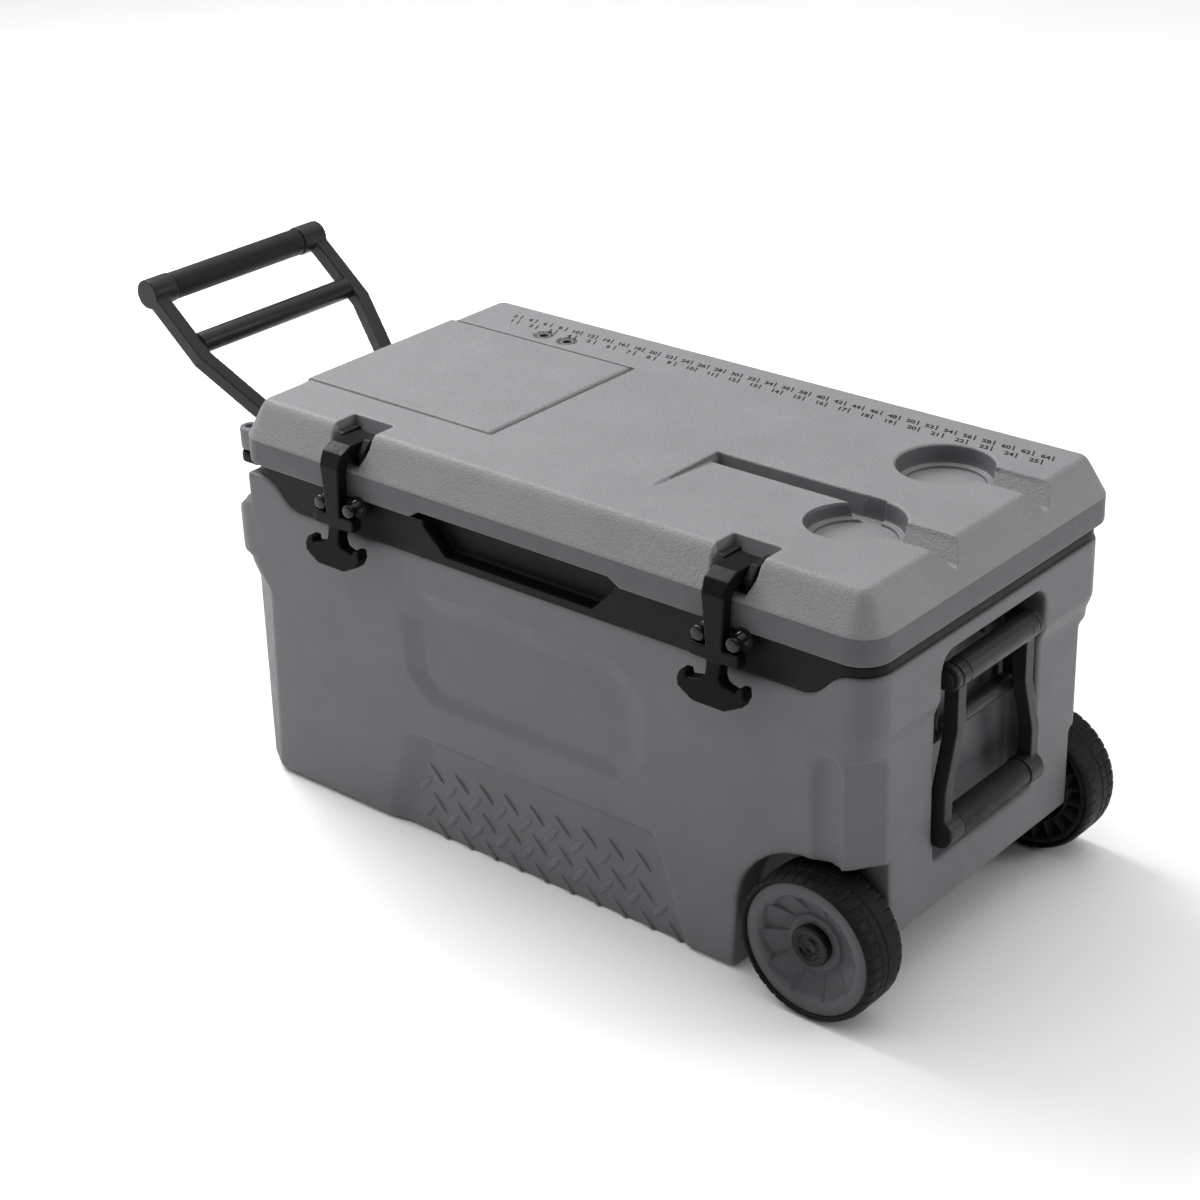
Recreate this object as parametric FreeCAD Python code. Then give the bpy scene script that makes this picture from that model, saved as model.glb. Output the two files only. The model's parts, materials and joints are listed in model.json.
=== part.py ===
import FreeCAD, Part
import math
import os

# Wheeled cool box, in millimetres. X runs along the box towards the wheels, -Y is the
# latch side, +Z is up. The origin is on the ground under the middle of the box.

V = FreeCAD.Vector
X_AXIS = V(1, 0, 0)
Y_AXIS = V(0, 1, 0)
Z_AXIS = V(0, 0, 1)

# --- driving dimensions ---------------------------------------------------------------
TOTAL_HEIGHT = 405.0
LID_LENGTH = 730.0
LID_DEPTH = 375.0
LID_EDGE_Z = 345.0            # underside of the lid's rim
LID_CREASE_Z = 370.0          # where the upright rim turns into the bevel
LID_BEVEL_X = 18.0            # how far the bevel leans in at the ends
LID_BEVEL_Y = 20.0            # and at the front and back
LID_CORNER_R = 28.0
SKIN = 5.0                    # moulded wall

TUB_TOP_Z = 342.0             # top of the black rim band
TUB_HALF_Y = 181.5            # outer faces at the top
TUB_FOOT_HALF_Y = 177.0       # outer faces at the ground
TUB_WHEEL_END_X = 356.0       # lower end face at the wheels
TUB_SHOULDER_X = 361.5        # end face above the shoulder bevel
TUB_TOW_END_X = -386.0        # end face at the tow handle
TUB_NECK_X = -363.0           # set-back end face just under the lid, tow end
TUB_NECK_Z = 297.0            # top of the tow end's shoulder
TUB_CORNER_R = 28.0
SHELL_VOID_HALF_Y = 167.0

BAND_HALF_Y = 180.0
BAND_T = 4.5
BAND_LOW_Z = 304.5            # deep part of the band along the sides
BAND_HIGH_Z = 331.0           # shallow part at the corners and ends
BAND_WAVE_START = 296.0       # |X| where the lower edge starts to rise
BAND_WAVE_END = 338.0

CAVITY_X0 = -322.0
CAVITY_X1 = 298.0
CAVITY_HALF_Y = 137.0
CAVITY_FLOOR_Z = 40.0
CAVITY_SHELF_X = 200.0        # the floor steps up here, over the wheels
CAVITY_SHELF_Z = 182.0
LINER_T = 4.0

FRONT_MID_X = -17.0           # the pocket, panel and tread are centred here

WHEEL_X = 308.0
WHEEL_R = 69.0
WHEEL_OUT_Y = 198.0
WHEEL_IN_Y = 149.0
ARCH_X = 302.0                # the wheel arch is centred a little inboard of the axle
ARCH_Z = 66.0
ARCH_R = 81.0
TYRE_BEAD_R = 62.0
WHEEL_WELL_IN_Y = 143.0
TAIL_Z = 68.0                 # raised underside between the wheels
AXLE_R = 6.0
AXLE_TUBE_R = 11.0
AXLE_CAP_R = 19.0
RUNNING_GAP = 0.06            # radial clearance of shafts
PRESS_GAP = 0.02              # radial clearance of pieces fixed to each other

LATCH_X = 221.0               # latches sit at +/- this
LATCH_PIN_Y = -157.0
LATCH_PIN_Z = 388.0
LATCH_FRONT_Y = -205.0
LATCH_BACK_Y = -193.3
LATCH_PIN_R = 2.5
LATCH_HALF_W = 12.5
KEEPER_R = 6.5
KEEPER_Z = 338.0

CLEAR_X = 430.0               # cutting tools end here, clear of the box
CLEAR_Y = 240.0
CLEAR_Z = 500.0

HINGE_X = 230.0
HINGE_Y = 190.0
HINGE_Z = 338.0
HINGE_R = 6.0
HINGE_PIN_R = 2.5

HATCH_X1 = -113.0
HATCH_Y0 = -103.5
HATCH_Y1 = 96.0
HATCH_GAP = 2.5
HATCH_PIN_X = -349.0
HATCH_PIN_Z = 400.0
HATCH_PIN_R = 2.0
BAY_FLOOR_Z = 395.0

BIN_X0 = -336.0               # pocket for the bin under the hatch
BIN_X1 = -130.0
BIN_MARGIN_Y = 14.0
BIN_FLOOR_Z = 362.0
BIN_CORNER_R = 10.0
BIN_WALL = 2.6

TRAY_X0 = 80.0                # phone tray in the lid's top
TRAY_X1 = 253.0
TRAY_Y0 = -106.0
TRAY_Y1 = -16.0
TRAY_GROOVE_W = 13.0
TRAY_GROOVE_Z = 385.0

CUP_R = 43.0
CUP_DEPTH = 21.0
CUPS = ((256.0, 79.0), (259.0, -61.0))

VENTS_X = (-242.4, -211.9)
VENT_Y = 116.7
VENT_SEAT_Z = 402.0
VENT_R = 10.0

DRAIN_X = -250.0
DRAIN_Z = 54.0
DRAIN_PLUG_R = 8.5

EYE_X = -377.0                # padlock eye on the tow end
EYE_Y = -158.0
EYE_R = 11.0
EYE_HOLE_R = 4.5

SIDE_PIVOT = (357.0, 287.5)   # X, Z of the wheel-end handle's pivot
TOW_PIVOT = (-364.0, 282.0)
TOW_RAISE_DEG = 130.0         # from hanging straight down to the raised rest pose
PIVOT_PIN_R = 4.0
RECESS_TOP_Z = 316.0


# --- small builders -------------------------------------------------------------------
def box(x0, x1, y0, y1, z0, z1):
    return Part.makeBox(x1 - x0, y1 - y0, z1 - z0, V(x0, y0, z0))


def rod(x, z, y0, y1, r):
    """Cylinder along Y."""
    return Part.makeCylinder(r, y1 - y0, V(x, y0, z), Y_AXIS)


def rod_x(y, z, x0, x1, r):
    return Part.makeCylinder(r, x1 - x0, V(x0, y, z), X_AXIS)


def post(x, y, z0, z1, r):
    return Part.makeCylinder(r, z1 - z0, V(x, y, z0), Z_AXIS)


def fuse(first, *others):
    shape = first
    for other in others:
        shape = shape.fuse(other)
    return shape.removeSplitter()


def cut(first, *others):
    shape = first
    for other in others:
        shape = shape.cut(other)
    return shape


def rounded_wire(x0, x1, y0, y1, r, z):
    """Rounded rectangle in the XY plane at height z."""
    h = r * math.sqrt(0.5)
    parts = []
    corners = (
        (x1 - r, y1 - r, 1, 1),
        (x0 + r, y1 - r, -1, 1),
        (x0 + r, y0 + r, -1, -1),
        (x1 - r, y0 + r, 1, -1),
    )
    ends = []
    for cx, cy, sx, sy in corners:
        side = V(cx + sx * r, cy, z)
        far = V(cx, cy + sy * r, z)
        mid = V(cx + sx * h, cy + sy * h, z)
        first, last = (side, far) if sx * sy > 0 else (far, side)
        parts.append(Part.Arc(first, mid, last).toShape())
        ends.append((first, last))
    edges = []
    for i, arc in enumerate(parts):
        edges.append(arc)
        edges.append(Part.LineSegment(ends[i][1], ends[(i + 1) % 4][0]).toShape())
    return Part.Wire(edges)


def slab(x0, x1, y0, y1, z0, z1, r):
    face = Part.Face(rounded_wire(x0, x1, y0, y1, r, z0))
    return face.extrude(V(0, 0, z1 - z0))


def loft(*wires):
    return Part.makeLoft(list(wires), True, True)


def frustum(base, top):
    """Flat-sided solid between two outlines with the same number of corners."""
    def face(corners):
        return Part.Face(Part.makePolygon(corners + [corners[0]]))

    faces = [face(base), face(top)]
    for k in range(len(base)):
        after = (k + 1) % len(base)
        faces.append(face([base[k], base[after], top[after], top[k]]))
    solid = Part.Solid(Part.Shell(faces))
    if solid.Volume < 0:
        solid.reverse()
    return solid


def polygon(points, vector):
    """Closed outline through the points, swept along a vector."""
    wire = Part.makePolygon([V(*p) for p in points] + [V(*points[0])])
    return Part.Face(wire).extrude(vector)


def outline_xz(points, y0, y1):
    return polygon([(x, y0, z) for x, z in points], V(0, y1 - y0, 0))


def outline_yz(points, x0, x1):
    return polygon([(x0, y, z) for y, z in points], V(x1 - x0, 0, 0))


def end_pocket(x0, x1, half_y, z0, z1, r):
    """Rounded rectangle in the YZ plane, swept along X."""
    shape = slab(-half_y, half_y, z0, z1, 0, x1 - x0, r)
    turned = shape.copy()
    turned.rotate(V(0, 0, 0), X_AXIS, 90)
    turned.rotate(V(0, 0, 0), Z_AXIS, 90)
    turned.translate(V(x0, 0, 0))
    return turned


def fillet_where(shape, radius, keep):
    edges = [e for e in shape.Edges if keep(e)]
    return shape.makeFillet(radius, edges)


def level(edge, z):
    box_ = edge.BoundBox
    return abs(box_.ZMin - z) < 0.01 and abs(box_.ZMax - z) < 0.01


NODES = {}


def add(name, shape):
    solids = shape.Solids
    NODES[name] = solids[0] if len(solids) == 1 else Part.makeCompound(solids)


# --- tub ------------------------------------------------------------------------------
def wave_region(drop):
    """Everything above the band's wavy lower edge, drop mm lower than nominal."""
    low = BAND_LOW_Z - drop
    high = BAND_HIGH_Z - drop
    mid_x = (BAND_WAVE_START + BAND_WAVE_END) / 2
    mid_z = (low + high) / 2
    top = TUB_TOP_Z + 20
    quarter_x = (BAND_WAVE_END - BAND_WAVE_START) / 4
    dip = (high - low) * 0.15

    def at(x, z):
        return V(x, -CLEAR_Y, z)

    edges = []
    for side in (-1, 1):
        start = at(side * BAND_WAVE_START, low)
        middle = at(side * mid_x, mid_z)
        end = at(side * BAND_WAVE_END, high)
        bend1 = at(side * (BAND_WAVE_START + quarter_x), low + dip)
        bend2 = at(side * (mid_x + quarter_x), high - dip)
        edges.append(Part.Arc(start, bend1, middle).toShape())
        edges.append(Part.Arc(middle, bend2, end).toShape())
        edges.append(Part.LineSegment(end, at(side * CLEAR_X, high)).toShape())
        edges.append(Part.LineSegment(at(side * CLEAR_X, high), at(side * CLEAR_X, top)).toShape())
    edges.append(Part.LineSegment(at(-BAND_WAVE_START, low), at(BAND_WAVE_START, low)).toShape())
    edges.append(Part.LineSegment(at(-CLEAR_X, top), at(CLEAR_X, top)).toShape())
    wire = Part.Wire(Part.__sortEdges__(edges))
    return Part.Face(wire).extrude(V(0, 2 * CLEAR_Y, 0))


def pocket_block(grow):
    """Thickened middle of the band that holds the finger pocket."""
    half = 124.0 + grow
    return box(FRONT_MID_X - half, FRONT_MID_X + half, -BAND_HALF_Y, -160.0 + grow,
               BAND_LOW_Z - grow, TUB_TOP_Z)


def band_outline(inset, z0, z1):
    return slab(TUB_NECK_X + 2 + inset, TUB_SHOULDER_X - 2 - inset,
                -BAND_HALF_Y + inset, BAND_HALF_Y - inset, z0, z1, TUB_CORNER_R - inset)


def wheel_well(side, grow):
    """Space around one wheel, open downwards and towards the wheel end."""
    r = ARCH_R + grow
    inner = WHEEL_WELL_IN_Y - grow
    y0, y1 = (inner, CLEAR_Y) if side > 0 else (-CLEAR_Y, -inner)
    arch = rod(ARCH_X, ARCH_Z, y0, y1, r)
    flare = 7.0
    below = outline_xz(((ARCH_X - r, ARCH_Z), (ARCH_X - r - flare, -10), (ARCH_X, -10),
                        (ARCH_X, ARCH_Z)), y0, y1)
    open_end = box(ARCH_X, CLEAR_X, y0, y1, -10, ARCH_Z + r)
    return fuse(arch, below, open_end)


def tail_cut(grow):
    """Raised underside between the wheels, with a ridge left around the axle."""
    foot_x = 222.0 - grow
    slope_x = 40.0
    points = ((foot_x, -10), (foot_x, 0), (foot_x + slope_x, TAIL_Z + grow),
              (CLEAR_X, TAIL_Z + grow), (CLEAR_X, -10))
    axle_ridge = rod(WHEEL_X, WHEEL_R, -CLEAR_Y, CLEAR_Y, AXLE_TUBE_R + SKIN - grow)
    return outline_xz(points, -CLEAR_Y, CLEAR_Y).cut(axle_ridge)


def side_recess(grow):
    """Handle recess in the wheel end, with a sill that slopes outwards."""
    half = 80.0 + grow
    sill_z = 124.0 - grow
    floor_x = 327.0 - grow
    main = end_pocket(floor_x, CLEAR_X, half, sill_z, RECESS_TOP_Z + grow, 16.0)
    run = CLEAR_X - 333
    sill = ((333 - grow, sill_z + 20), (333 - grow, sill_z), (CLEAR_X, sill_z - run * 0.5),
            (CLEAR_X, sill_z + 20))
    return fuse(main, outline_xz(sill, -half + 3, half - 3))


def tow_recess(grow):
    half = 127.0 + grow
    return end_pocket(-CLEAR_X, -343.0 + grow, half, -40, RECESS_TOP_Z + grow, 16.0)


def tapered_panel(outer, inner, face_y, floor_y):
    """Shallow front recess from its XZ outline at the face and the smaller one at its floor."""
    outside_y = -TUB_HALF_Y - 6
    over = (face_y - outside_y) / (floor_y - face_y)
    flare = [(x + (x - u) * over, z + (z - w) * over) for (x, z), (u, w) in zip(outer, inner)]

    return frustum([V(x, outside_y, z) for x, z in flare], [V(x, floor_y, z) for x, z in inner])


def clipped_rectangle(cx, cz, half_x, half_z, clip):
    """Corners of a rectangle whose four corners are cut off."""
    right = [(half_x, clip - half_z), (half_x, half_z - clip), (half_x - clip, half_z)]
    left = [(-x, z) for x, z in reversed(right)]
    base = [(-half_x + clip, -half_z), (half_x - clip, -half_z)]
    return [(cx + x, cz + z) for x, z in right + left + base]


def front_panel():
    """Shallow recess with clipped corners and broad leaning sides in the middle of the front."""
    mid_x, mid_z = FRONT_MID_X - 4, 206.0
    border = 22.0
    outer = clipped_rectangle(mid_x, mid_z, 145.0, 59.0, 28.0)
    inner = clipped_rectangle(mid_x, mid_z, 145.0 - border, 59.0 - border * 0.7, 18.0)
    return tapered_panel(outer, inner, -179.6, -174.0)


def tread_recess():
    """Trapezoid at the foot of the front, open below, that carries the raised tread."""
    foot_z, top_z = -12.0, 110.0
    lean_left, lean_right = 0.41, 0.36
    top_border = 10.0

    def trapezoid(x0, x1, high):
        rise = high - foot_z
        return ((x0, foot_z), (x0 + lean_left * rise, high), (x1 - lean_right * rise, high),
                (x1, foot_z))

    outer = trapezoid(-219.0, 173.0, top_z)
    inner = trapezoid(-191.0, 163.0, top_z - top_border)
    return tapered_panel(outer, inner, -177.8, -171.0)


def corner_facet(side, grow):
    """What the flat facet takes off a wheel-end corner, below the shoulder."""
    top_z = 250.0 + grow
    corner_x = TUB_WHEEL_END_X
    y = side * TUB_HALF_Y
    from_x = 332.0 - grow
    to_y = side * (148.5 - grow)
    points = ((from_x, y), (from_x, y * 2), (corner_x * 2, y * 2), (corner_x * 2, to_y),
              (corner_x, to_y))
    return polygon([(px, py, -5) for px, py in points], V(0, 0, top_z + 5))


def corner_groove(side):
    """Broad soft groove beside the facet, rounded at the top."""
    r = 24.0
    x, y = 317.5, side * (TUB_HALF_Y + 16.5)
    top_z = 236.0
    return fuse(post(x, y, -5, top_z, r), Part.makeSphere(r, V(x, y, top_z)))


def tow_corner_facet(side):
    """Long leaning facet on a tow-end corner, running out below the shoulder."""
    slant = 0.54
    far_x = TUB_TOW_END_X - 20

    def ring(z, from_x):
        to_y = TUB_HALF_Y - slant * (from_x - far_x)
        outline = ((from_x, TUB_HALF_Y), (from_x, CLEAR_Y), (far_x, CLEAR_Y), (far_x, to_y))
        return [V(x, side * y, z) for x, y in outline]

    full = ring(206.0, -343.0)
    return [frustum(ring(-5, -352.0), full), frustum(full, ring(252.0, -376.0))]


def tow_foot():
    """Slope that lifts the foot of the tow end off the ground."""
    start_x, end_x = -352.0, TUB_TOW_END_X - 6
    points = ((start_x, -10), (start_x, 0), (end_x, 14), (end_x, -10))
    return outline_xz(points, -CLEAR_Y, CLEAR_Y)


def tow_shoulder():
    """Rounded shoulder across the tow end, under the lid's overhang."""
    out_x, out_z = TUB_TOW_END_X - 10, 268.0
    low = V(TUB_TOW_END_X, 0, 240.0)
    out = V(out_x, 0, out_z)
    half_way = math.sqrt(0.5)
    bulge = V(TUB_NECK_X - (TUB_NECK_X - out_x) * half_way, 0,
              out_z + (TUB_NECK_Z - out_z) * half_way)
    top = V(TUB_NECK_X, 0, TUB_NECK_Z)
    foot = V(TUB_NECK_X, 0, 240.0)
    edges = [Part.makeLine(low, out), Part.Arc(out, bulge, top).toShape(),
             Part.makeLine(top, foot), Part.makeLine(foot, low)]
    bar = Part.Face(Part.Wire(edges)).extrude(V(0, 2 * TUB_HALF_Y, 0))
    bar.translate(V(0, -TUB_HALF_Y, 0))
    plan = slab(out_x, 0, -TUB_HALF_Y + 1, TUB_HALF_Y - 1, 200, 300, TUB_CORNER_R)
    return bar.common(plan)


def tub_outer():
    top_z = BAND_HIGH_Z
    foot = rounded_wire(TUB_TOW_END_X, TUB_WHEEL_END_X, -TUB_FOOT_HALF_Y, TUB_FOOT_HALF_Y,
                        TUB_CORNER_R, 0)
    head = rounded_wire(TUB_TOW_END_X, TUB_WHEEL_END_X, -TUB_HALF_Y, TUB_HALF_Y,
                        TUB_CORNER_R, top_z)
    body = fillet_where(loft(foot, head), 8.0, lambda e: level(e, 0))
    shoulder_low = 260.0
    shoulder_high = 275.0
    inner_x = TUB_WHEEL_END_X - 60
    low = rounded_wire(inner_x, TUB_WHEEL_END_X, -TUB_HALF_Y + 1, TUB_HALF_Y - 1,
                       TUB_CORNER_R, shoulder_low)
    high = rounded_wire(inner_x, TUB_SHOULDER_X, -TUB_HALF_Y + 0.6, TUB_HALF_Y - 0.6,
                        TUB_CORNER_R, shoulder_high)
    shoulder = loft(low, high)
    upper = slab(inner_x, TUB_SHOULDER_X, -TUB_HALF_Y + 0.6, TUB_HALF_Y - 0.6,
                 shoulder_high, top_z, TUB_CORNER_R)
    body = fuse(body, shoulder, upper)
    neck = box(-CLEAR_X, TUB_NECK_X, -CLEAR_Y, CLEAR_Y, TUB_NECK_Z, CLEAR_Z)
    body = cut(body, neck, tow_foot())
    for side in (-1, 1):
        body = cut(body, *tow_corner_facet(side))
    return fuse(body, tow_shoulder())


def tub_cuts(grow):
    return [wheel_well(-1, grow), wheel_well(1, grow), tail_cut(grow), side_recess(grow),
            tow_recess(grow)]


def tub_void(inset):
    """Space inside the outer shell, inset mm smaller for the foam."""
    void = slab(TUB_TOW_END_X + 9 + inset, TUB_WHEEL_END_X - SKIN - inset,
                -SHELL_VOID_HALF_Y + inset, SHELL_VOID_HALF_Y - inset,
                SKIN + inset, CLEAR_Z, TUB_CORNER_R - 6 - inset)
    neck = box(-CLEAR_X, TUB_NECK_X + SKIN + inset, -CLEAR_Y, CLEAR_Y, TUB_NECK_Z - SKIN - inset,
               CLEAR_Z)
    facets = [corner_facet(side, 3.0 + inset) for side in (-1, 1)]
    return cut(void, neck, pocket_block(SKIN + inset), *facets, *tub_cuts(SKIN + inset))


def cavity(grow):
    x0, x1 = CAVITY_X0 - grow, CAVITY_X1 + grow
    half = CAVITY_HALF_Y + grow
    deep = slab(x0, CAVITY_SHELF_X + grow, -half, half, CAVITY_FLOOR_Z - grow, CLEAR_Z, 20.0 + grow)
    shelf = slab(x0, x1, -half, half, CAVITY_SHELF_Z - grow, CLEAR_Z, 20.0 + grow)
    return fuse(deep, shelf)


def drain_bore(r):
    return rod(DRAIN_X, DRAIN_Z, CAVITY_HALF_Y - 20, CLEAR_Y, r)


def axle_bore(r):
    return rod(WHEEL_X, WHEEL_R, -CLEAR_Y, CLEAR_Y, r)


def make_tub():
    body = cut(tub_outer(), *tub_cuts(0.0))
    body = cut(body, front_panel(), tread_recess())
    for side in (-1, 1):
        body = cut(body, corner_groove(side), corner_facet(side, 0.0))
    rebate = cut(wave_region(0.3), band_outline(BAND_T + 0.3, -10, CLEAR_Z))
    body = cut(body, rebate, pocket_block(0.3))
    add("tub_shell", cut(body, tub_void(0.0), drain_bore(13.0), axle_bore(AXLE_TUBE_R)))
    tube = rod(WHEEL_X, WHEEL_R, -WHEEL_WELL_IN_Y, WHEEL_WELL_IN_Y, AXLE_TUBE_R)
    add("axle_tube", cut(tube, axle_bore(AXLE_R + PRESS_GAP)))

    liner_top = TUB_TOP_Z - BAND_T
    flange = slab(TUB_NECK_X + 8, TUB_WHEEL_END_X - 6, -SHELL_VOID_HALF_Y - 6,
                  SHELL_VOID_HALF_Y + 6, BAND_HIGH_Z, liner_top, TUB_CORNER_R - 8)
    flange = cut(flange, pocket_block(0.5))
    bucket = cavity(LINER_T).common(box(-CLEAR_X, CLEAR_X, -CLEAR_Y, CLEAR_Y, 0, liner_top))
    liner = cut(fuse(bucket, flange), cavity(0.0), drain_bore(13.0))
    add("tub_liner", liner)

    foam = tub_void(0.4).common(box(-CLEAR_X, CLEAR_X, -CLEAR_Y, CLEAR_Y, 0, BAND_HIGH_Z))
    foam = cut(foam, cavity(LINER_T), rebate, drain_bore(13.0), axle_bore(AXLE_TUBE_R))
    add("tub_foam", foam)
    make_band()
    make_drain()


def make_band():
    skirt = cut(band_outline(0, BAND_LOW_Z, TUB_TOP_Z), band_outline(BAND_T, 0, CLEAR_Z))
    skirt = skirt.common(wave_region(0.0))
    rim = cut(band_outline(0, TUB_TOP_Z - BAND_T, TUB_TOP_Z), cavity(0.0))
    pocket = ((FRONT_MID_X - 86, 312), (FRONT_MID_X + 86, 312), (FRONT_MID_X + 113, 338),
              (FRONT_MID_X + 103, 360), (FRONT_MID_X - 103, 360), (FRONT_MID_X - 113, 338))
    band = fuse(skirt, rim, pocket_block(0.0))
    band = cut(band, outline_xz(pocket, -CLEAR_Y, -165.0))
    lug = tow_lug(BAND_HIGH_Z + 1, TUB_TOP_Z)
    add("rim_band", cut(fuse(band, lug), lug_hole()))

    pegs = []
    for side in (-1, 1):
        for offset in (-18, 18):
            pegs.append(rod(side * LATCH_X + offset, KEEPER_Z, LATCH_BACK_Y + 0.6,
                            -BAND_HALF_Y, KEEPER_R))
    add("latch_keepers", Part.makeCompound(pegs))


def tow_lug(z0, z1):
    """Padlock eye at the latch-side corner of the tow end."""
    eye = post(EYE_X, EYE_Y, z0, z1, EYE_R)
    neck = box(EYE_X, TUB_NECK_X + 2.5, EYE_Y - EYE_R, EYE_Y + EYE_R, z0, z1)
    return fuse(eye, neck)


def lug_hole():
    return post(EYE_X - 1, EYE_Y, 0, CLEAR_Z, EYE_HOLE_R)


def make_drain():
    """Quarter-turn drain plug through the back wall at the cavity floor."""
    x, z = DRAIN_X, DRAIN_Z
    inner_y = CAVITY_HALF_Y + 1.0
    face_y = TUB_FOOT_HALF_Y + 1.3
    flange_t, washer_t, head_t = 3.0, 2.0, 5.0
    head_r = 16.0
    spout = fuse(rod(x, z, inner_y, face_y, 12.7), rod(x, z, face_y, face_y + flange_t, 19.0))
    add("drain_spout", cut(spout, drain_bore(DRAIN_PLUG_R)))
    washer_y = face_y + flange_t
    washer = cut(rod(x, z, washer_y, washer_y + washer_t, head_r), drain_bore(DRAIN_PLUG_R + 0.1))
    add("drain_washer", washer)
    head_y = washer_y + washer_t + 0.3
    grip = box(x - 14, x + 14, head_y + head_t, head_y + head_t + 7, z - 2.5, z + 2.5)
    head = fuse(rod(x, z, head_y, head_y + head_t, head_r), grip)
    stem = rod(x, z, inner_y + 4, head_y, DRAIN_PLUG_R - RUNNING_GAP)
    add("drain_plug", fuse(head, stem))


# --- lid ------------------------------------------------------------------------------
def lid_solid(inset, z0, z1):
    """Lid block: upright rim, then a bevel up to the top, all inset by the same amount."""
    hx, hy = LID_LENGTH / 2 - inset, LID_DEPTH / 2 - inset
    r = LID_CORNER_R - inset
    rim = slab(-hx, hx, -hy, hy, z0, LID_CREASE_Z, r)
    low = rounded_wire(-hx, hx, -hy, hy, r, LID_CREASE_Z)
    tx, ty = hx - LID_BEVEL_X, hy - LID_BEVEL_Y
    high = rounded_wire(-tx, tx, -ty, ty, r - 6, z1)
    return fuse(rim, loft(low, high))


def latch_notch(side, grow):
    x = side * LATCH_X
    wide, narrow = 24.5 + grow, 17.0 + grow
    points = ((x - wide, CLEAR_Z), (x - wide, 392 - grow), (x - narrow, 373 - grow),
              (x + narrow, 373 - grow), (x + wide, 392 - grow), (x + wide, CLEAR_Z))
    return outline_xz(points, -CLEAR_Y, -143.0 + grow)


def hatch_bay(grow):
    """Step in the top that the hatch closes, open at the lid's tow end."""
    return box(-CLEAR_X, HATCH_X1 + 5 + grow, HATCH_Y0 - HATCH_GAP - grow,
               HATCH_Y1 + HATCH_GAP + grow, BAY_FLOOR_Z - grow, CLEAR_Z)


def bin_pocket(grow):
    return slab(BIN_X0 - grow, BIN_X1 + grow, HATCH_Y0 + BIN_MARGIN_Y - grow,
                HATCH_Y1 - BIN_MARGIN_Y + grow, BIN_FLOOR_Z - grow, CLEAR_Z,
                BIN_CORNER_R + grow)


def phone_slot(grow):
    """Tray that falls gently to a narrow deep groove at its back."""
    x0, x1 = TRAY_X0 - grow, TRAY_X1 + grow
    y0, y1 = TRAY_Y0 - grow, TRAY_Y1 + grow
    low_z = TOTAL_HEIGHT - 5.0 - grow
    tray = outline_yz(((y0, TOTAL_HEIGHT), (y1, low_z), (y1, CLEAR_Z), (y0, CLEAR_Z)), x0, x1)
    groove = box(x0, x1, y1 - TRAY_GROOVE_W - 2 * grow, y1, TRAY_GROOVE_Z - grow, CLEAR_Z)
    return fuse(tray, groove)


def cup_holder(centre, grow):
    x, y = centre
    floor_z = TOTAL_HEIGHT - CUP_DEPTH - grow
    bore = post(x, y, floor_z + 3, CLEAR_Z, CUP_R + grow)
    well = post(x, y, floor_z, floor_z + 5, CUP_R - 4.5 + grow)
    return fuse(bore, well)


def drain_channel(centre, grow):
    """V-shaped run-off from a cup holder, low near its middle, out through the end bevel."""
    x, y = centre
    near, far = 16.0 + grow, 19.0 + grow
    low_z = TOTAL_HEIGHT - CUP_DEPTH + 1 - grow
    points = ((y - near, CLEAR_Z), (y - near, TOTAL_HEIGHT), (y + 1.5, low_z), (y + 5.5, low_z),
              (y + far, TOTAL_HEIGHT - 2), (y + far, CLEAR_Z))
    return outline_yz(points, x + CUP_R - 8, CLEAR_X)


def vent_seat(x, grow):
    return post(x, VENT_Y, VENT_SEAT_Z - grow, CLEAR_Z, VENT_R + grow)


def lid_cuts(grow):
    shapes = [latch_notch(-1, grow), latch_notch(1, grow), hatch_bay(grow),
              bin_pocket(grow), phone_slot(grow)]
    for centre in CUPS:
        shapes.append(cup_holder(centre, grow))
        shapes.append(drain_channel(centre, grow))
    for x in VENTS_X:
        shapes.append(vent_seat(x, grow))
    return shapes


def finger_gap():
    """Raised edge over the band's finger pocket."""
    low, high = 124.0, 112.0
    low_z, high_z = LID_EDGE_Z - 5, LID_EDGE_Z + 7.5
    points = ((FRONT_MID_X - low, low_z), (FRONT_MID_X - high, high_z),
              (FRONT_MID_X + high, high_z), (FRONT_MID_X + low, low_z))
    return outline_xz(points, -CLEAR_Y, -165)


def hatch_pin_bore(r):
    return rod(HATCH_PIN_X, HATCH_PIN_Z, HATCH_Y0 - 7, HATCH_Y1 + 7, r)


def lid_plug(inset, z1):
    """Shallow block under the lid that drops into the mouth of the cavity."""
    gap = 3.0 + inset
    return slab(CAVITY_X0 + gap, CAVITY_X1 - gap, -CAVITY_HALF_Y + gap, CAVITY_HALF_Y - gap,
                333.0 + inset, z1, 20.0 - gap)


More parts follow.
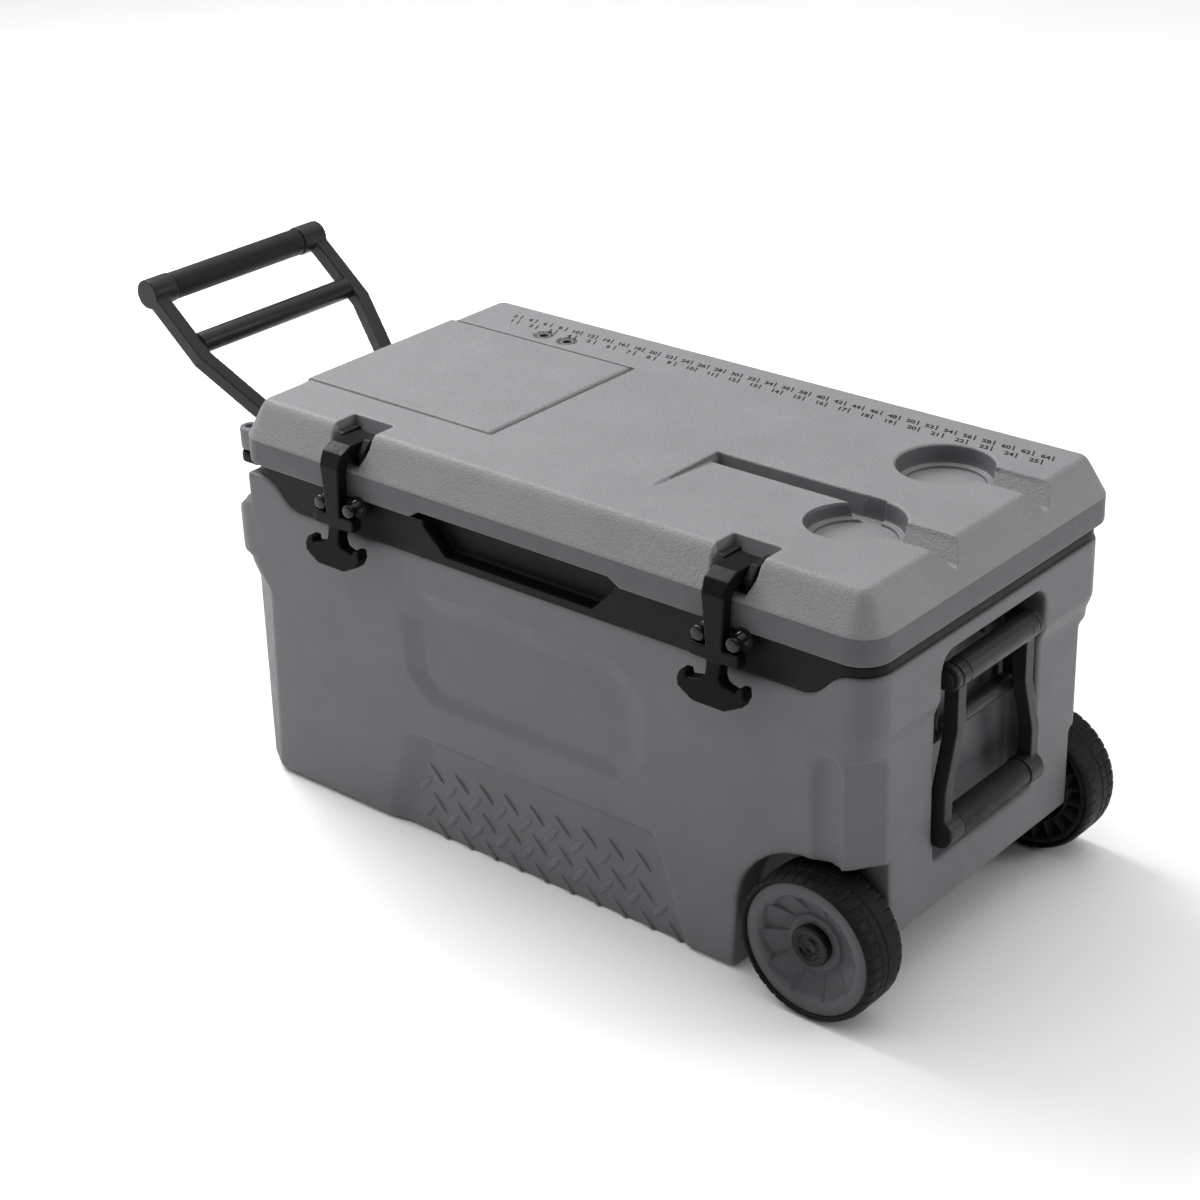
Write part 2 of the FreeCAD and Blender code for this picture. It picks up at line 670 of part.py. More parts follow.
def make_lid():
    body = lid_solid(0.0, LID_EDGE_Z, TOTAL_HEIGHT)
    body = fillet_where(body, 9.0, lambda e: level(e, TOTAL_HEIGHT))
    body = fillet_where(body, 3.0, lambda e: level(e, LID_CREASE_Z))
    body = fuse(body, tow_lug(LID_EDGE_Z, LID_CREASE_Z - 3))
    body = cut(body, *lid_cuts(0.0))
    body = cut(body, finger_gap(), lug_hole(), hatch_pin_bore(HATCH_PIN_R + PRESS_GAP))
    void = cut(lid_solid(SKIN, LID_EDGE_Z - 10, TOTAL_HEIGHT - SKIN), *lid_cuts(SKIN))
    gap_skin = box(FRONT_MID_X - 130, FRONT_MID_X + 130, -CLEAR_Y, -160, 330, LID_EDGE_Z + 12)
    void = cut(void, gap_skin)
    add("lid_shell", cut(body, void))

    liner_z = LID_EDGE_Z + LINER_T
    liner = void.common(box(-CLEAR_X, CLEAR_X, -CLEAR_Y, CLEAR_Y, LID_EDGE_Z, liner_z))
    liner = fuse(liner, lid_plug(0.0, LID_EDGE_Z))
    add("lid_liner", cut(liner, lid_plug(LINER_T, liner_z)))
    foam = cut(lid_solid(SKIN + 0.4, LID_EDGE_Z - 10, TOTAL_HEIGHT - SKIN - 0.4),
               gap_skin, *lid_cuts(SKIN + 0.4))
    foam = foam.common(box(-CLEAR_X, CLEAR_X, -CLEAR_Y, CLEAR_Y, liner_z, CLEAR_Z))
    add("lid_foam", fuse(foam, lid_plug(LINER_T, liner_z)))

    seal_out = slab(-343, 334, -157, 157, TUB_TOP_Z + 0.3, LID_EDGE_Z, 26.0)
    seal_in = slab(-336, 327, -150, 150, TUB_TOP_Z, LID_EDGE_Z, 19.0)
    add("lid_gasket", cut(seal_out, seal_in))

    vents = []
    for x in VENTS_X:
        plug = post(x, VENT_Y, VENT_SEAT_Z, VENT_SEAT_Z + 2.6, VENT_R - 0.2)
        vents.append(cut(plug, post(x, VENT_Y, VENT_SEAT_Z + 1.4, CLEAR_Z, 6.0)))
    add("vent_plugs", Part.makeCompound(vents))


def make_hatch():
    knuckle_r = 4.0
    top = TOTAL_HEIGHT + 0.5
    panel = box(HATCH_PIN_X, HATCH_X1, HATCH_Y0, HATCH_Y1, HATCH_PIN_Z - knuckle_r, top)
    panel = fillet_where(panel, 3.0, lambda e: level(e, top))
    panel = fuse(panel, rod(HATCH_PIN_X, HATCH_PIN_Z, HATCH_Y0, HATCH_Y1, knuckle_r))
    add("access_hatch", cut(panel, hatch_pin_bore(HATCH_PIN_R + RUNNING_GAP)))
    add("hatch_pin", hatch_pin_bore(HATCH_PIN_R))
    lid_side = bin_pocket(-0.4).common(box(-CLEAR_X, CLEAR_X, -CLEAR_Y, CLEAR_Y, 0, BAY_FLOOR_Z))
    add("hatch_bin", cut(lid_side, bin_pocket(-0.4 - BIN_WALL)))


def screw_heads(centres, y):
    """Round heads that stand on a face at y, at each (x, z)."""
    return [rod(x, z, y, y + 2.0, 3.5) for x, z in centres]


def make_lid_hinges():
    lid_screws = []
    tub_screws = []
    leaf_t = 3.5
    half = 30.0
    knuckle = 10.0
    play = 0.4
    for name, side in (("left", -1), ("right", 1)):
        x = side * HINGE_X
        pin = rod_x(HINGE_Y, HINGE_Z, x - half - 2, x + half + 2, HINGE_PIN_R)
        bore = rod_x(HINGE_Y, HINGE_Z, x - half - 5, x + half + 5, HINGE_PIN_R + RUNNING_GAP)
        lid_leaf = box(x - half, x + half, LID_DEPTH / 2, LID_DEPTH / 2 + leaf_t,
                       LID_EDGE_Z + 0.8, LID_CREASE_Z - 2)
        tub_leaf = box(x - half, x + half, BAND_HALF_Y, BAND_HALF_Y + leaf_t,
                       312, TUB_TOP_Z - 1)
        for centre in (-20, 20):
            a, b = x + centre - knuckle + play, x + centre + knuckle - play
            arm = box(a, b, BAND_HALF_Y + 1, HINGE_Y, HINGE_Z - 4, HINGE_Z + 3)
            tub_leaf = fuse(tub_leaf, arm, rod_x(HINGE_Y, HINGE_Z, a, b, HINGE_R))
        a, b = x - knuckle + play, x + knuckle - play
        neck = box(a, b, LID_DEPTH / 2, LID_DEPTH / 2 + leaf_t, HINGE_Z, LID_EDGE_Z + 2)
        lid_leaf = fuse(lid_leaf, neck, rod_x(HINGE_Y, HINGE_Z, a, b, HINGE_R))
        add("lid_hinge_" + name, cut(lid_leaf, bore))
        add("tub_hinge_" + name, cut(tub_leaf, bore))
        add("hinge_pin_" + name, pin)
        spots = [x - 20, x + 20]
        lid_screws += screw_heads([(sx, 358.0) for sx in spots], LID_DEPTH / 2 + leaf_t)
        tub_screws += screw_heads([(sx, 320.0) for sx in spots], BAND_HALF_Y + leaf_t)
    add("lid_hinge_screws", Part.makeCompound(lid_screws))
    add("tub_hinge_screws", Part.makeCompound(tub_screws))


# --- latches --------------------------------------------------------------------------
def strap_outline():
    """Front view of a latch, right half then mirrored: strap, wings, shank, pull tab."""
    top = LATCH_HALF_W
    half = ((top, 400), (top, 388), (8.5, 334), (8.5, 331), (25, 331), (25, 319), (7, 319),
            (7, 307), (12, 301), (25, 298.5), (27, 303), (33, 303), (35.5, 296), (33, 289),
            (16, 281), (7, 280))
    mirrored = [(-x, z) for x, z in reversed(half)]
    return list(half) + mirrored


def strap_profile():
    """Side view: hub over the pin, over the lid's edge, down the front, tab tipped out."""
    return ((LATCH_PIN_Y + 4, LATCH_PIN_Z + 8), (-187, LATCH_PIN_Z + 9), (-199, 391),
            (LATCH_FRONT_Y, 379), (LATCH_FRONT_Y, 318), (-213, 281), (-203, 281),
            (LATCH_BACK_Y, 312), (LATCH_BACK_Y, 375), (-189, 382), (-183, 384),
            (LATCH_PIN_Y, LATCH_PIN_Z - 5))


def make_latches():
    ear_in = LATCH_HALF_W + 0.6
    foot_half = 16.4
    for name, side in (("left", -1), ("right", 1)):
        x = side * LATCH_X
        front = outline_xz([(x + px, pz) for px, pz in strap_outline()], -CLEAR_Y, -140)
        strap = outline_yz(strap_profile(), x - 40, x + 40).common(front)
        hub = rod_x(LATCH_PIN_Y, LATCH_PIN_Z, x - LATCH_HALF_W, x + LATCH_HALF_W, 8.0)
        bore = rod_x(LATCH_PIN_Y, LATCH_PIN_Z, x - 30, x + 30, LATCH_PIN_R + RUNNING_GAP)
        add("latch_strap_" + name, cut(fuse(strap, hub), bore))
        add("latch_pin_" + name, rod_x(LATCH_PIN_Y, LATCH_PIN_Z, x - 19, x + 19, LATCH_PIN_R))
        ears = []
        for sign in (-1, 1):
            inner, outer = sorted((sign * ear_in, sign * 21.0))
            profile = ((-148, 392), (-148, 398), (-170, 398), (-181, 388), (-178, 381),
                       (-148, 381))
            low = ((-148, 373.5), (-148, 382), (-178, 382), (-178, 373.5))
            ear = outline_yz(profile, x + inner, x + outer)
            foot_in, foot_out = sorted((sign * ear_in, sign * foot_half))
            ears.append(fuse(ear, outline_yz(low, x + foot_in, x + foot_out)))
        base = box(x - foot_half, x + foot_half, -178, -148, 373.4, 376.5)
        bracket = fuse(base, *ears)
        pin_hole = rod_x(LATCH_PIN_Y, LATCH_PIN_Z, x - 30, x + 30, LATCH_PIN_R + PRESS_GAP)
        bracket = bracket.common(latch_notch(side, -0.3))
        add("latch_bracket_" + name, cut(bracket, pin_hole))


# --- handles --------------------------------------------------------------------------
def arm_outline(side, stations, width):
    """Front view of one arm along its stations (distance below the pivot, half span)."""
    outer = [(side * (h + width / 2), -s) for s, h in stations]
    inner = [(side * (h - width / 2), -s) for s, h in reversed(stations)]
    return outer + inner


def place_handle(shape, pivot, turn):
    moved = shape.copy()
    moved.rotate(V(0, 0, 0), Y_AXIS, turn)
    moved.translate(V(pivot[0], 0, pivot[1]))
    return moved


def make_handle(prefix, pivot, turn, stations, width, depth, grip_r, seam, crossbar):
    length = stations[-1][0]
    top_half = stations[0][1]
    end_half = stations[-1][1] + width / 2
    barrel_r = 12.5
    pin_bore = rod(0, 0, -CLEAR_Y, CLEAR_Y, PIVOT_PIN_R + RUNNING_GAP)
    core_r = 7.0
    core_half = end_half - 4.0
    for name, side in (("front", -1), ("back", 1)):
        arm = outline_yz(arm_outline(side, stations, width), -depth / 2, depth / 2)
        eye0, eye1 = sorted((side * (top_half - width / 2), side * (top_half + width / 2)))
        col0, col1 = sorted((side * seam, side * end_half))
        eye = rod(0, 0, eye0, eye1, barrel_r)
        collar = rod(0, -length, col0, col1, grip_r + 1.0)
        arm = fuse(arm, eye, collar)
        core_bore = rod(0, -length, -core_half - RUNNING_GAP, core_half + RUNNING_GAP,
                        core_r + PRESS_GAP)
        arm = cut(arm, pin_bore, core_bore)
        add(prefix + "_arm_" + name, place_handle(arm, pivot, turn))
    inner = top_half - width / 2
    barrel = cut(rod(0, 0, -inner, inner, barrel_r), pin_bore)
    add(prefix + "_pivot_barrel", place_handle(barrel, pivot, turn))
    core = rod(0, -length, -core_half, core_half, core_r)
    add(prefix + "_grip_core", place_handle(core, pivot, turn))
    grip = cut(rod(0, -length, -seam + 0.4, seam - 0.4, grip_r),
               rod(0, -length, -core_half, core_half, core_r + PRESS_GAP))
    add(prefix + "_grip", place_handle(grip, pivot, turn))
    if crossbar:
        at, r = crossbar
        half = stations[-1][1] - width / 2
        add(prefix + "_crossbar", place_handle(rod(0, -at, -half, half, r), pivot, turn))


def make_pivot(prefix, pivot, outward, floor_x, ear_in, tie_bar):
    """Fixed bracket on the recess floor that carries a handle's pivot pin."""
    ear_t = 7.0
    px, pz = pivot
    ear_out = ear_in + ear_t
    back_x = floor_x + outward * 4
    plate = box(min(floor_x, back_x), max(floor_x, back_x), -ear_out, ear_out, pz - 18, pz + 18)
    bracket = plate
    for side in (-1, 1):
        y0, y1 = sorted((side * ear_in, side * ear_out))
        web = box(min(floor_x, px), max(floor_x, px), y0, y1, pz - 12, pz + 12)
        bracket = fuse(bracket, web, rod(px, pz, y0, y1, 12.0))
        if tie_bar:
            bar_x, bar_z, bar_r = tie_bar
            strap = box(bar_x - 6, bar_x + 6, y0, y1, bar_z, pz - 10)
            bracket = fuse(bracket, strap, rod(bar_x, bar_z, y0, y1, bar_r))
    pin_hole = rod(px, pz, -CLEAR_Y, CLEAR_Y, PIVOT_PIN_R + PRESS_GAP)
    screws = []
    for y in (-30, 30):
        head = Part.makeCylinder(4.5, 2.5, V(back_x, y, pz), X_AXIS * outward)
        screws.append(head)
    add(prefix + "_bracket", cut(bracket, pin_hole))
    add(prefix + "_bracket_screws", Part.makeCompound(screws))
    pin = rod(px, pz, -ear_out - 3.5, ear_out + 3.5, PIVOT_PIN_R)
    for y0 in (-ear_out - 3.5, ear_out):
        pin = fuse(pin, rod(px, pz, y0, y0 + 3.5, 7.5))
    add(prefix + "_pivot_pin", pin)
    if tie_bar:
        bar_x, bar_z, bar_r = tie_bar
        add(prefix + "_tie_bar", rod(bar_x, bar_z, -ear_in, ear_in, bar_r))


def make_handles():
    side_stations = ((0, 53.0), (50, 53.0), (103, 68.5), (145, 68.5))
    make_handle("side", SIDE_PIVOT, 0.0, side_stations, 12.0, 14.0, 13.5, 54.0, None)
    make_pivot("side", SIDE_PIVOT, 1, 327.0, 59.6, (339.0, 227.0, 8.5))
    tow_stations = ((0, 64.0), (14, 64.0), (172.5, 110.0), (260, 110.0))
    make_handle("tow", TOW_PIVOT, TOW_RAISE_DEG, tow_stations, 15.0, 16.0, 14.0, 87.5,
                (190.0, 11.0))
    make_pivot("tow", TOW_PIVOT, -1, -343.0, 72.1, None)


# --- wheels ---------------------------------------------------------------------------
def turned(points, side):
    """Solid of revolution about the axle from (radius, |Y|) points."""
    wire = Part.makePolygon([V(WHEEL_X + r, side * y, WHEEL_R) for r, y in points]
                            + [V(WHEEL_X + points[0][0], side * points[0][1], WHEEL_R)])
    return Part.Face(wire).revolve(V(WHEEL_X, 0, WHEEL_R), Y_AXIS, 360)


def make_wheels():
    bead = TYRE_BEAD_R
    out, inn = WHEEL_OUT_Y, WHEEL_IN_Y
    mid_y = (inn + out) / 2
    shoulder_r = WHEEL_R - 5
    face, back = out - 3, inn + 4
    dish, web = out - 21, out - 28
    collar = out - 17
    collar_r, boss_r, hub_in = 26.0, 20.0, 9.0
    axle_end = out - 12
    washers = []
    for name, side in (("front", -1), ("back", 1)):
        tyre = turned(((bead, inn + 2), (shoulder_r, inn), (WHEEL_R - 1, inn + 4),
                       (WHEEL_R, inn + 10), (WHEEL_R, mid_y - 2), (WHEEL_R - 3, mid_y - 1),
                       (WHEEL_R - 3, mid_y + 1), (WHEEL_R, mid_y + 2), (WHEEL_R, out - 10),
                       (WHEEL_R - 1, out - 4), (shoulder_r, out), (bead, out - 2)), side)
        add("tyre_" + name, tyre)
        hub = turned(((bead - PRESS_GAP, back), (bead - PRESS_GAP, face), (51, face),
                      (29, dish), (collar_r, dish), (collar_r, collar), (hub_in, collar),
                      (hub_in, back), (boss_r, back), (boss_r, web), (28, web),
                      (54, out - 10), (56, out - 12), (56, back)), side)
        ribs = []
        for k in range(12):
            y0, y1 = sorted((side * (inn + 9), side * (web - 1)))
            rib = box(WHEEL_X + boss_r - 1, WHEEL_X + 57, y0, y1, WHEEL_R - 1.25, WHEEL_R + 1.25)
            rib.rotate(V(WHEEL_X, 0, WHEEL_R), Y_AXIS, 30 * k)
            ribs.append(rib)
        add("hub_" + name, fuse(hub, *ribs))
        y0, y1 = sorted((side * (back - 1), side * collar))
        add("bushing_" + name, cut(rod(WHEEL_X, WHEEL_R, y0, y1, hub_in - PRESS_GAP),
                                   axle_bore(AXLE_R + RUNNING_GAP)))
        cap_in = collar + 0.4
        cap = turned(((0, axle_end), (AXLE_R + PRESS_GAP, axle_end), (AXLE_R + PRESS_GAP, cap_in),
                      (AXLE_CAP_R, cap_in), (AXLE_CAP_R, out - 9), (AXLE_CAP_R - 2, out - 7),
                      (0, out - 7)), side)
        add("axle_cap_" + name, cap)
        w0, w1 = sorted((side * (WHEEL_WELL_IN_Y + 0.4), side * (back - 1.4)))
        washers.append(cut(rod(WHEEL_X, WHEEL_R, w0, w1, 10.0),
                           axle_bore(AXLE_R + PRESS_GAP)))
    add("axle_spacers", Part.makeCompound(washers))
    add("axle", rod(WHEEL_X, WHEEL_R, -axle_end, axle_end, AXLE_R))


def main():
    make_tub()
    make_lid()
    make_hatch()
    make_lid_hinges()
    make_latches()
    make_handles()
    make_wheels()
    os.makedirs("parts", exist_ok=True)
    for name, shape in NODES.items():
        solids = shape.Solids
        ok = shape.isValid()
        print(name, "solids", len(solids), "valid", ok, "cm3", round(shape.Volume / 1000, 1))
        shape.exportStep("parts/" + name + ".step")


main()
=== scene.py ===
import json
import math
import bmesh
import bpy
import numpy as np
from mathutils import Matrix, Vector


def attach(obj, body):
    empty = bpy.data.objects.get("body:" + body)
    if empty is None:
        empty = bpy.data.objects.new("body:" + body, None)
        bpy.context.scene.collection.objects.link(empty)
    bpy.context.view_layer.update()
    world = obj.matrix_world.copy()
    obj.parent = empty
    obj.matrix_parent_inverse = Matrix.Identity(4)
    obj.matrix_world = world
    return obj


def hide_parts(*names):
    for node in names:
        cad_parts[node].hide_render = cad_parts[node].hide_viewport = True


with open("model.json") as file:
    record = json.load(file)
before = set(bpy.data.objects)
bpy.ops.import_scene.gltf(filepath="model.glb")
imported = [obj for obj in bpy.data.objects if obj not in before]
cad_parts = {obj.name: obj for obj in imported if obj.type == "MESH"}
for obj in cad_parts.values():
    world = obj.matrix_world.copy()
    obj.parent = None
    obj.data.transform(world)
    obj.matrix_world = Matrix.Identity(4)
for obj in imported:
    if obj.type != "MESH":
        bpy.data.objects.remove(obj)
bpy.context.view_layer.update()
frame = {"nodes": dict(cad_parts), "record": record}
MM = 0.001

# Driving sizes shared with the CAD model, in millimetres.
LID_HALF_X, LID_HALF_Y = 365.0, 187.5
LID_CORNER_R = 28.0
LID_EDGE_Z, LID_CREASE_Z, LID_TOP_Z = 345.0, 370.0, 405.0
BEVEL_IN = 19.0
PAST_LID_X = 420.0
HATCH = (-353.0, -113.0, -103.5, 96.0)      # x0, x1, y0, y1
HATCH_BAY_Z, HATCH_FOOT_Z = 395.0, 396.3
BIN = (-336.0, -130.0, -89.5, 82.0)         # x0, x1, y0, y1
BIN_FLOOR_Z = 362.0
TRAY = (80.0, 253.0, -106.0, -16.0)         # x0, x1, y0, y1
TRAY_DEPTH, TRAY_FALL = 1.7, 3.3
GROOVE_WIDTH, GROOVE_FLOOR_Z = 13.0, 384.0
CUP_R, CUP_PATCH_R = 43.0, 50.0
CUPS = ((256.0, 79.0), (259.0, -61.0))
CUP_FLOOR_Z, CUP_LEDGE = 387.0, 3.0
CHANNEL_NEAR, CHANNEL_FAR = 16.0, 19.0      # either side of the cup's middle
CHANNEL_FLOOR_Z, CHANNEL_FAR_Z = 385.2, 402.5
CHANNEL_X, CHANNEL_REACH = 325.0, 26.0
VENTS = ((-242.4, 116.7), (-211.9, 116.7))
VENT_R, VENT_SEAT_R, VENT_SEAT_Z = 10.0, 10.2, 402.0
LATCH_X = 221.0
NOTCH_HALF, NOTCH_FLOOR_Z = 24.5, 373.0
NOTCH_Y = (-260.0, -143.0)
PEG_OFFSET, PEG_Z, PEG_ROOT_Y, PEG_COLLAR_Y = 18, 338.5, -180.0, -190.0
POCKET_X = -17.0
FINGER_GAP, FINGER_RAMP, FINGER_RISE = 124.0, 12.0, 7.5
LIP_NEAR_Y, LIP_FAR_Y = -165.2, -159.8
WHEEL_X, WHEEL_R = 308.0, 69.0
WHEEL_IN, WHEEL_OUT = 149.0, 198.0
TREAD_Y, TREAD_PITCH = -171.3, 31.85

# Lines of the lid's mesh, and how steep a face of a pocket is to count as a wall that takes the
# darker band material as painted shade.
COARSE, FINE = 1.5, 1.1
WALL_SLOPE = 0.5

# Light.
SKY_LOW, SKY_HIGH = 0.04, 1.66
DIM_SIDE, DIM_LEVEL = (0.66, -0.75, 0.0), 0.35
FLOOR_HALF = 40.0                           # metres


# --- mesh helpers ---------------------------------------------------------------------
def new_mesh(name, points, quads, smooth=True):
    """Mesh object from arrays: points in millimetres, faces as rows of four indices."""
    points = np.asarray(points, float).reshape(-1, 3) * MM
    quads = np.asarray(quads, np.int32).reshape(-1, 4)
    mesh = bpy.data.meshes.new(name)
    mesh.vertices.add(len(points))
    mesh.vertices.foreach_set("co", points.ravel())
    mesh.loops.add(quads.size)
    mesh.loops.foreach_set("vertex_index", quads.ravel())
    mesh.polygons.add(len(quads))
    mesh.polygons.foreach_set("loop_start", np.arange(0, quads.size, 4, dtype=np.int32))
    mesh.polygons.foreach_set("use_smooth", np.full(len(quads), smooth))
    mesh.update(calc_edges=True)
    mesh.validate()
    obj = bpy.data.objects.new(name, mesh)
    bpy.context.scene.collection.objects.link(obj)
    return obj


def grid_quads(rows, columns, start=0, wrap=False):
    """Quads of a rows x columns grid of vertices; wrap joins the last column to the first."""
    row = np.arange(rows - 1)[:, None]
    column = np.arange(columns if wrap else columns - 1)[None, :]
    after = (column + 1) % columns
    a = start + row * columns + column
    b = start + row * columns + after
    c = b + columns
    d = a + columns
    return np.stack([a, b, c, d], axis=-1).reshape(-1, 4)


def link(obj, body, material, replaces=()):
    """Give a finished piece its material and its place in the model."""
    obj.data.materials.clear()
    obj.data.materials.append(material)
    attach(obj, body)
    if replaces:
        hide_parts(*replaces)
    return obj


def bake_modifiers(obj):
    """Replace an object's mesh with what its modifiers make of it."""
    graph = bpy.context.evaluated_depsgraph_get()
    mesh = bpy.data.meshes.new_from_object(obj.evaluated_get(graph))
    obj.modifiers.clear()
    obj.data = mesh
    return obj


def weld(mesh, distance=1e-6):
    work = bmesh.new()
    work.from_mesh(mesh)
    bmesh.ops.remove_doubles(work, verts=work.verts, dist=distance)
    work.to_mesh(mesh)
    work.free()


def soften(name, node, voxel, passes):
    """Copy of a CAD piece with moulded, rounded edges: remeshed, then relaxed."""
    mesh = frame["nodes"][node].data.copy()
    weld(mesh)
    obj = bpy.data.objects.new(name, mesh)
    bpy.context.scene.collection.objects.link(obj)
    remesh = obj.modifiers.new("remesh", "REMESH")
    remesh.mode = "VOXEL"
    remesh.voxel_size = voxel * MM
    remesh.use_smooth_shade = True
    relax = obj.modifiers.new("relax", "SMOOTH")
    relax.factor = 0.5
    relax.iterations = passes
    return bake_modifiers(obj)


def lathe(name, profile, centre, axis_y=True, side=1, steps=96):
    """Turned piece about a line along Y (or X) through centre; profile is (radius, along)."""
    points = []
    for radius, along in profile:
        for k in range(steps):
            angle = 2 * math.pi * k / steps
            u, v = radius * math.cos(angle), radius * math.sin(angle)
            if axis_y:
                points.append((centre[0] + u, centre[1] + side * along, centre[2] + v))
            else:
                points.append((centre[0] + side * along, centre[1] + u, centre[2] + v))
    quads = grid_quads(len(profile), steps, wrap=True)
    if (side > 0) != axis_y:
        quads = quads[:, ::-1]
    return new_mesh(name, points, quads)


def arc(cx, cy, r, start, end, steps=5):
    """Points of an arc in a profile, angles in degrees."""
    turn = np.radians(np.linspace(start, end, steps))
    return [(cx + r * math.cos(t), cy + r * math.sin(t)) for t in turn]


def plate(name, outlines, thickness, edge, place):
    """Flat plate with rounded edges from closed outlines in millimetres, holes included."""
    curve = bpy.data.curves.new(name, "CURVE")
    curve.dimensions = "2D"
    curve.fill_mode = "BOTH"
    for outline in outlines:
        spline = curve.splines.new("POLY")
        spline.points.add(len(outline) - 1)
        for point, (x, y) in zip(spline.points, outline):
            point.co = (x * MM, y * MM, 0, 1)
        spline.use_cyclic_u = True
    curve.extrude = (thickness / 2 - edge) * MM
    curve.bevel_depth = edge * MM
    curve.bevel_resolution = 3
    curve.offset = -edge * MM
    obj = bpy.data.objects.new(name, curve)
    bpy.context.scene.collection.objects.link(obj)
    graph = bpy.context.evaluated_depsgraph_get()
    mesh = bpy.data.meshes.new_from_object(obj.evaluated_get(graph))
    bpy.data.objects.remove(obj)
    mesh.transform(place)
    solid = bpy.data.objects.new(name, mesh)
    bpy.context.scene.collection.objects.link(solid)
    return solid


# --- materials ------------------------------------------------------------------------
class Nodes:
    """Short way to add and join the nodes of one material."""

    def __init__(self, name):
        self.material = bpy.data.materials.new(name)
        self.material.use_nodes = True
        self.tree = self.material.node_tree
        self.shader = self.tree.nodes["Principled BSDF"]
        coords = self.tree.nodes.new("ShaderNodeTexCoord")
        self.coords = coords.outputs["Object"]

    def add(self, kind, inputs=None, **settings):
        node = self.tree.nodes.new(kind)
        for key, value in settings.items():
            setattr(node, key, value)
        for key, value in (inputs or {}).items():
            if isinstance(value, bpy.types.NodeSocket):
                self.tree.links.new(value, node.inputs[key])
            else:
                node.inputs[key].default_value = value
        return node

    def noise(self, size_mm, detail=3.0, rough=0.5, stretch=None):
        """Cloudy noise whose features are about size_mm across."""
        vector = self.coords
        if stretch:
            vector = self.add("ShaderNodeMapping", {"Vector": vector, "Scale": stretch}).outputs[0]
        node = self.add("ShaderNodeTexNoise", {"Vector": vector, "Scale": 1 / (size_mm * MM),
                                               "Detail": detail, "Roughness": rough})
        return node.outputs["Fac"]

    def cells(self, size_mm):
        """Smooth pebbles about size_mm across, high in the middle of each."""
        node = self.add("ShaderNodeTexVoronoi", {"Vector": self.coords,
                                                 "Scale": 1 / (size_mm * MM),
                                                 "Smoothness": 0.6}, feature="SMOOTH_F1")
        return node.outputs["Distance"]

    def spread(self, value, low, high):
        """Map a 0.3 to 0.7 noise value onto low to high."""
        node = self.add("ShaderNodeMapRange", {"Value": value, "From Min": 0.3, "From Max": 0.7,
                                               "To Min": low, "To Max": high})
        return node.outputs["Result"]

    def sum(self, a, b, share):
        node = self.add("ShaderNodeMath", {0: b, 1: share}, operation="MULTIPLY")
        return self.add("ShaderNodeMath", {0: a, 1: node.outputs[0]}, operation="ADD").outputs[0]

    def tint(self, colour, value, amount):
        """Colour made lighter and darker by a noise value."""
        level = self.spread(value, 1 - amount, 1 + amount)
        node = self.add("ShaderNodeVectorMath", {0: colour, "Scale": level}, operation="SCALE")
        return node.outputs[0]

    def bump(self, height, depth_mm, strength=1.0, below=None):
        inputs = {"Height": height, "Distance": depth_mm * MM, "Strength": strength}
        if below:
            inputs["Normal"] = below
        return self.add("ShaderNodeBump", inputs).outputs["Normal"]

    def finish(self, colour, roughness, normal, metallic=0.0, coat=0.0, shine=0.5):
        self.tree.links.new(colour, self.shader.inputs["Base Color"])
        self.tree.links.new(roughness, self.shader.inputs["Roughness"])
        self.tree.links.new(normal, self.shader.inputs["Normal"])
        self.shader.inputs["Metallic"].default_value = metallic
        self.shader.inputs["Coat Weight"].default_value = coat
        self.shader.inputs["Specular IOR Level"].default_value = shine
        return self.material


def edge_highlight_and_wear(nodes, colour, gain):
    """Lighter edges, partly rubbed wear and partly painted highlight: colour raised where the
    surface is sharply convex.
    """
    point = nodes.add("ShaderNodeNewGeometry").outputs["Pointiness"]
    level = nodes.add("ShaderNodeMapRange", {"Value": point, "From Min": 0.52, "From Max": 0.62,
                                             "To Min": 1.0, "To Max": 1.0 + gain})
    node = nodes.add("ShaderNodeVectorMath", {0: colour, "Scale": level.outputs["Result"]},
                     operation="SCALE")
    return node.outputs[0]


def grained_plastic(name, colour, rough, pebble, depth, mottle, wear_and_highlight=0.1, shine=0.3):
    """Moulded plastic with a pebbled skin, faint cloudy mottling, and lighter edges that are
    partly rubbed wear and partly painted highlight.
    """
    n = Nodes(name)
    pebbles = n.cells(pebble)
    fine = n.noise(pebble * 0.6, 2.0, 0.6)
    height = n.sum(fine, pebbles, -0.9)
    speck = n.tint(colour, n.noise(pebble * 0.8, 2.0, 0.6), mottle)
    cloud = n.spread(n.noise(55.0, 3.0), 0.96, 1.04)
    base = n.add("ShaderNodeVectorMath", {0: speck, "Scale": cloud}, operation="SCALE").outputs[0]
    base = edge_highlight_and_wear(n, base, wear_and_highlight)
    gloss = n.spread(n.noise(18.0, 4.0), rough - 0.05, rough + 0.06)
    return n.finish(base, gloss, n.bump(height, depth, 0.9), shine=shine)


def smooth_plastic(name, colour, rough, coat=0.0, wear_and_highlight=0.12, shine=0.12):
    """Tool-finished plastic: very fine grain, faint flow marks, slightly lighter edges that are
    partly rubbed wear and partly painted highlight.
    """
    n = Nodes(name)
    base = n.tint(colour, n.noise(30.0, 4.0), 0.06)
    base = edge_highlight_and_wear(n, base, wear_and_highlight)
    gloss = n.spread(n.noise(9.0, 5.0, 0.6), rough - 0.07, rough + 0.07)
    wave = n.bump(n.noise(14.0, 1.0), 0.06, 0.4)
    return n.finish(base, gloss, n.bump(n.noise(0.5, 2.0), 0.03, 0.7, wave), coat=coat,
                    shine=shine)


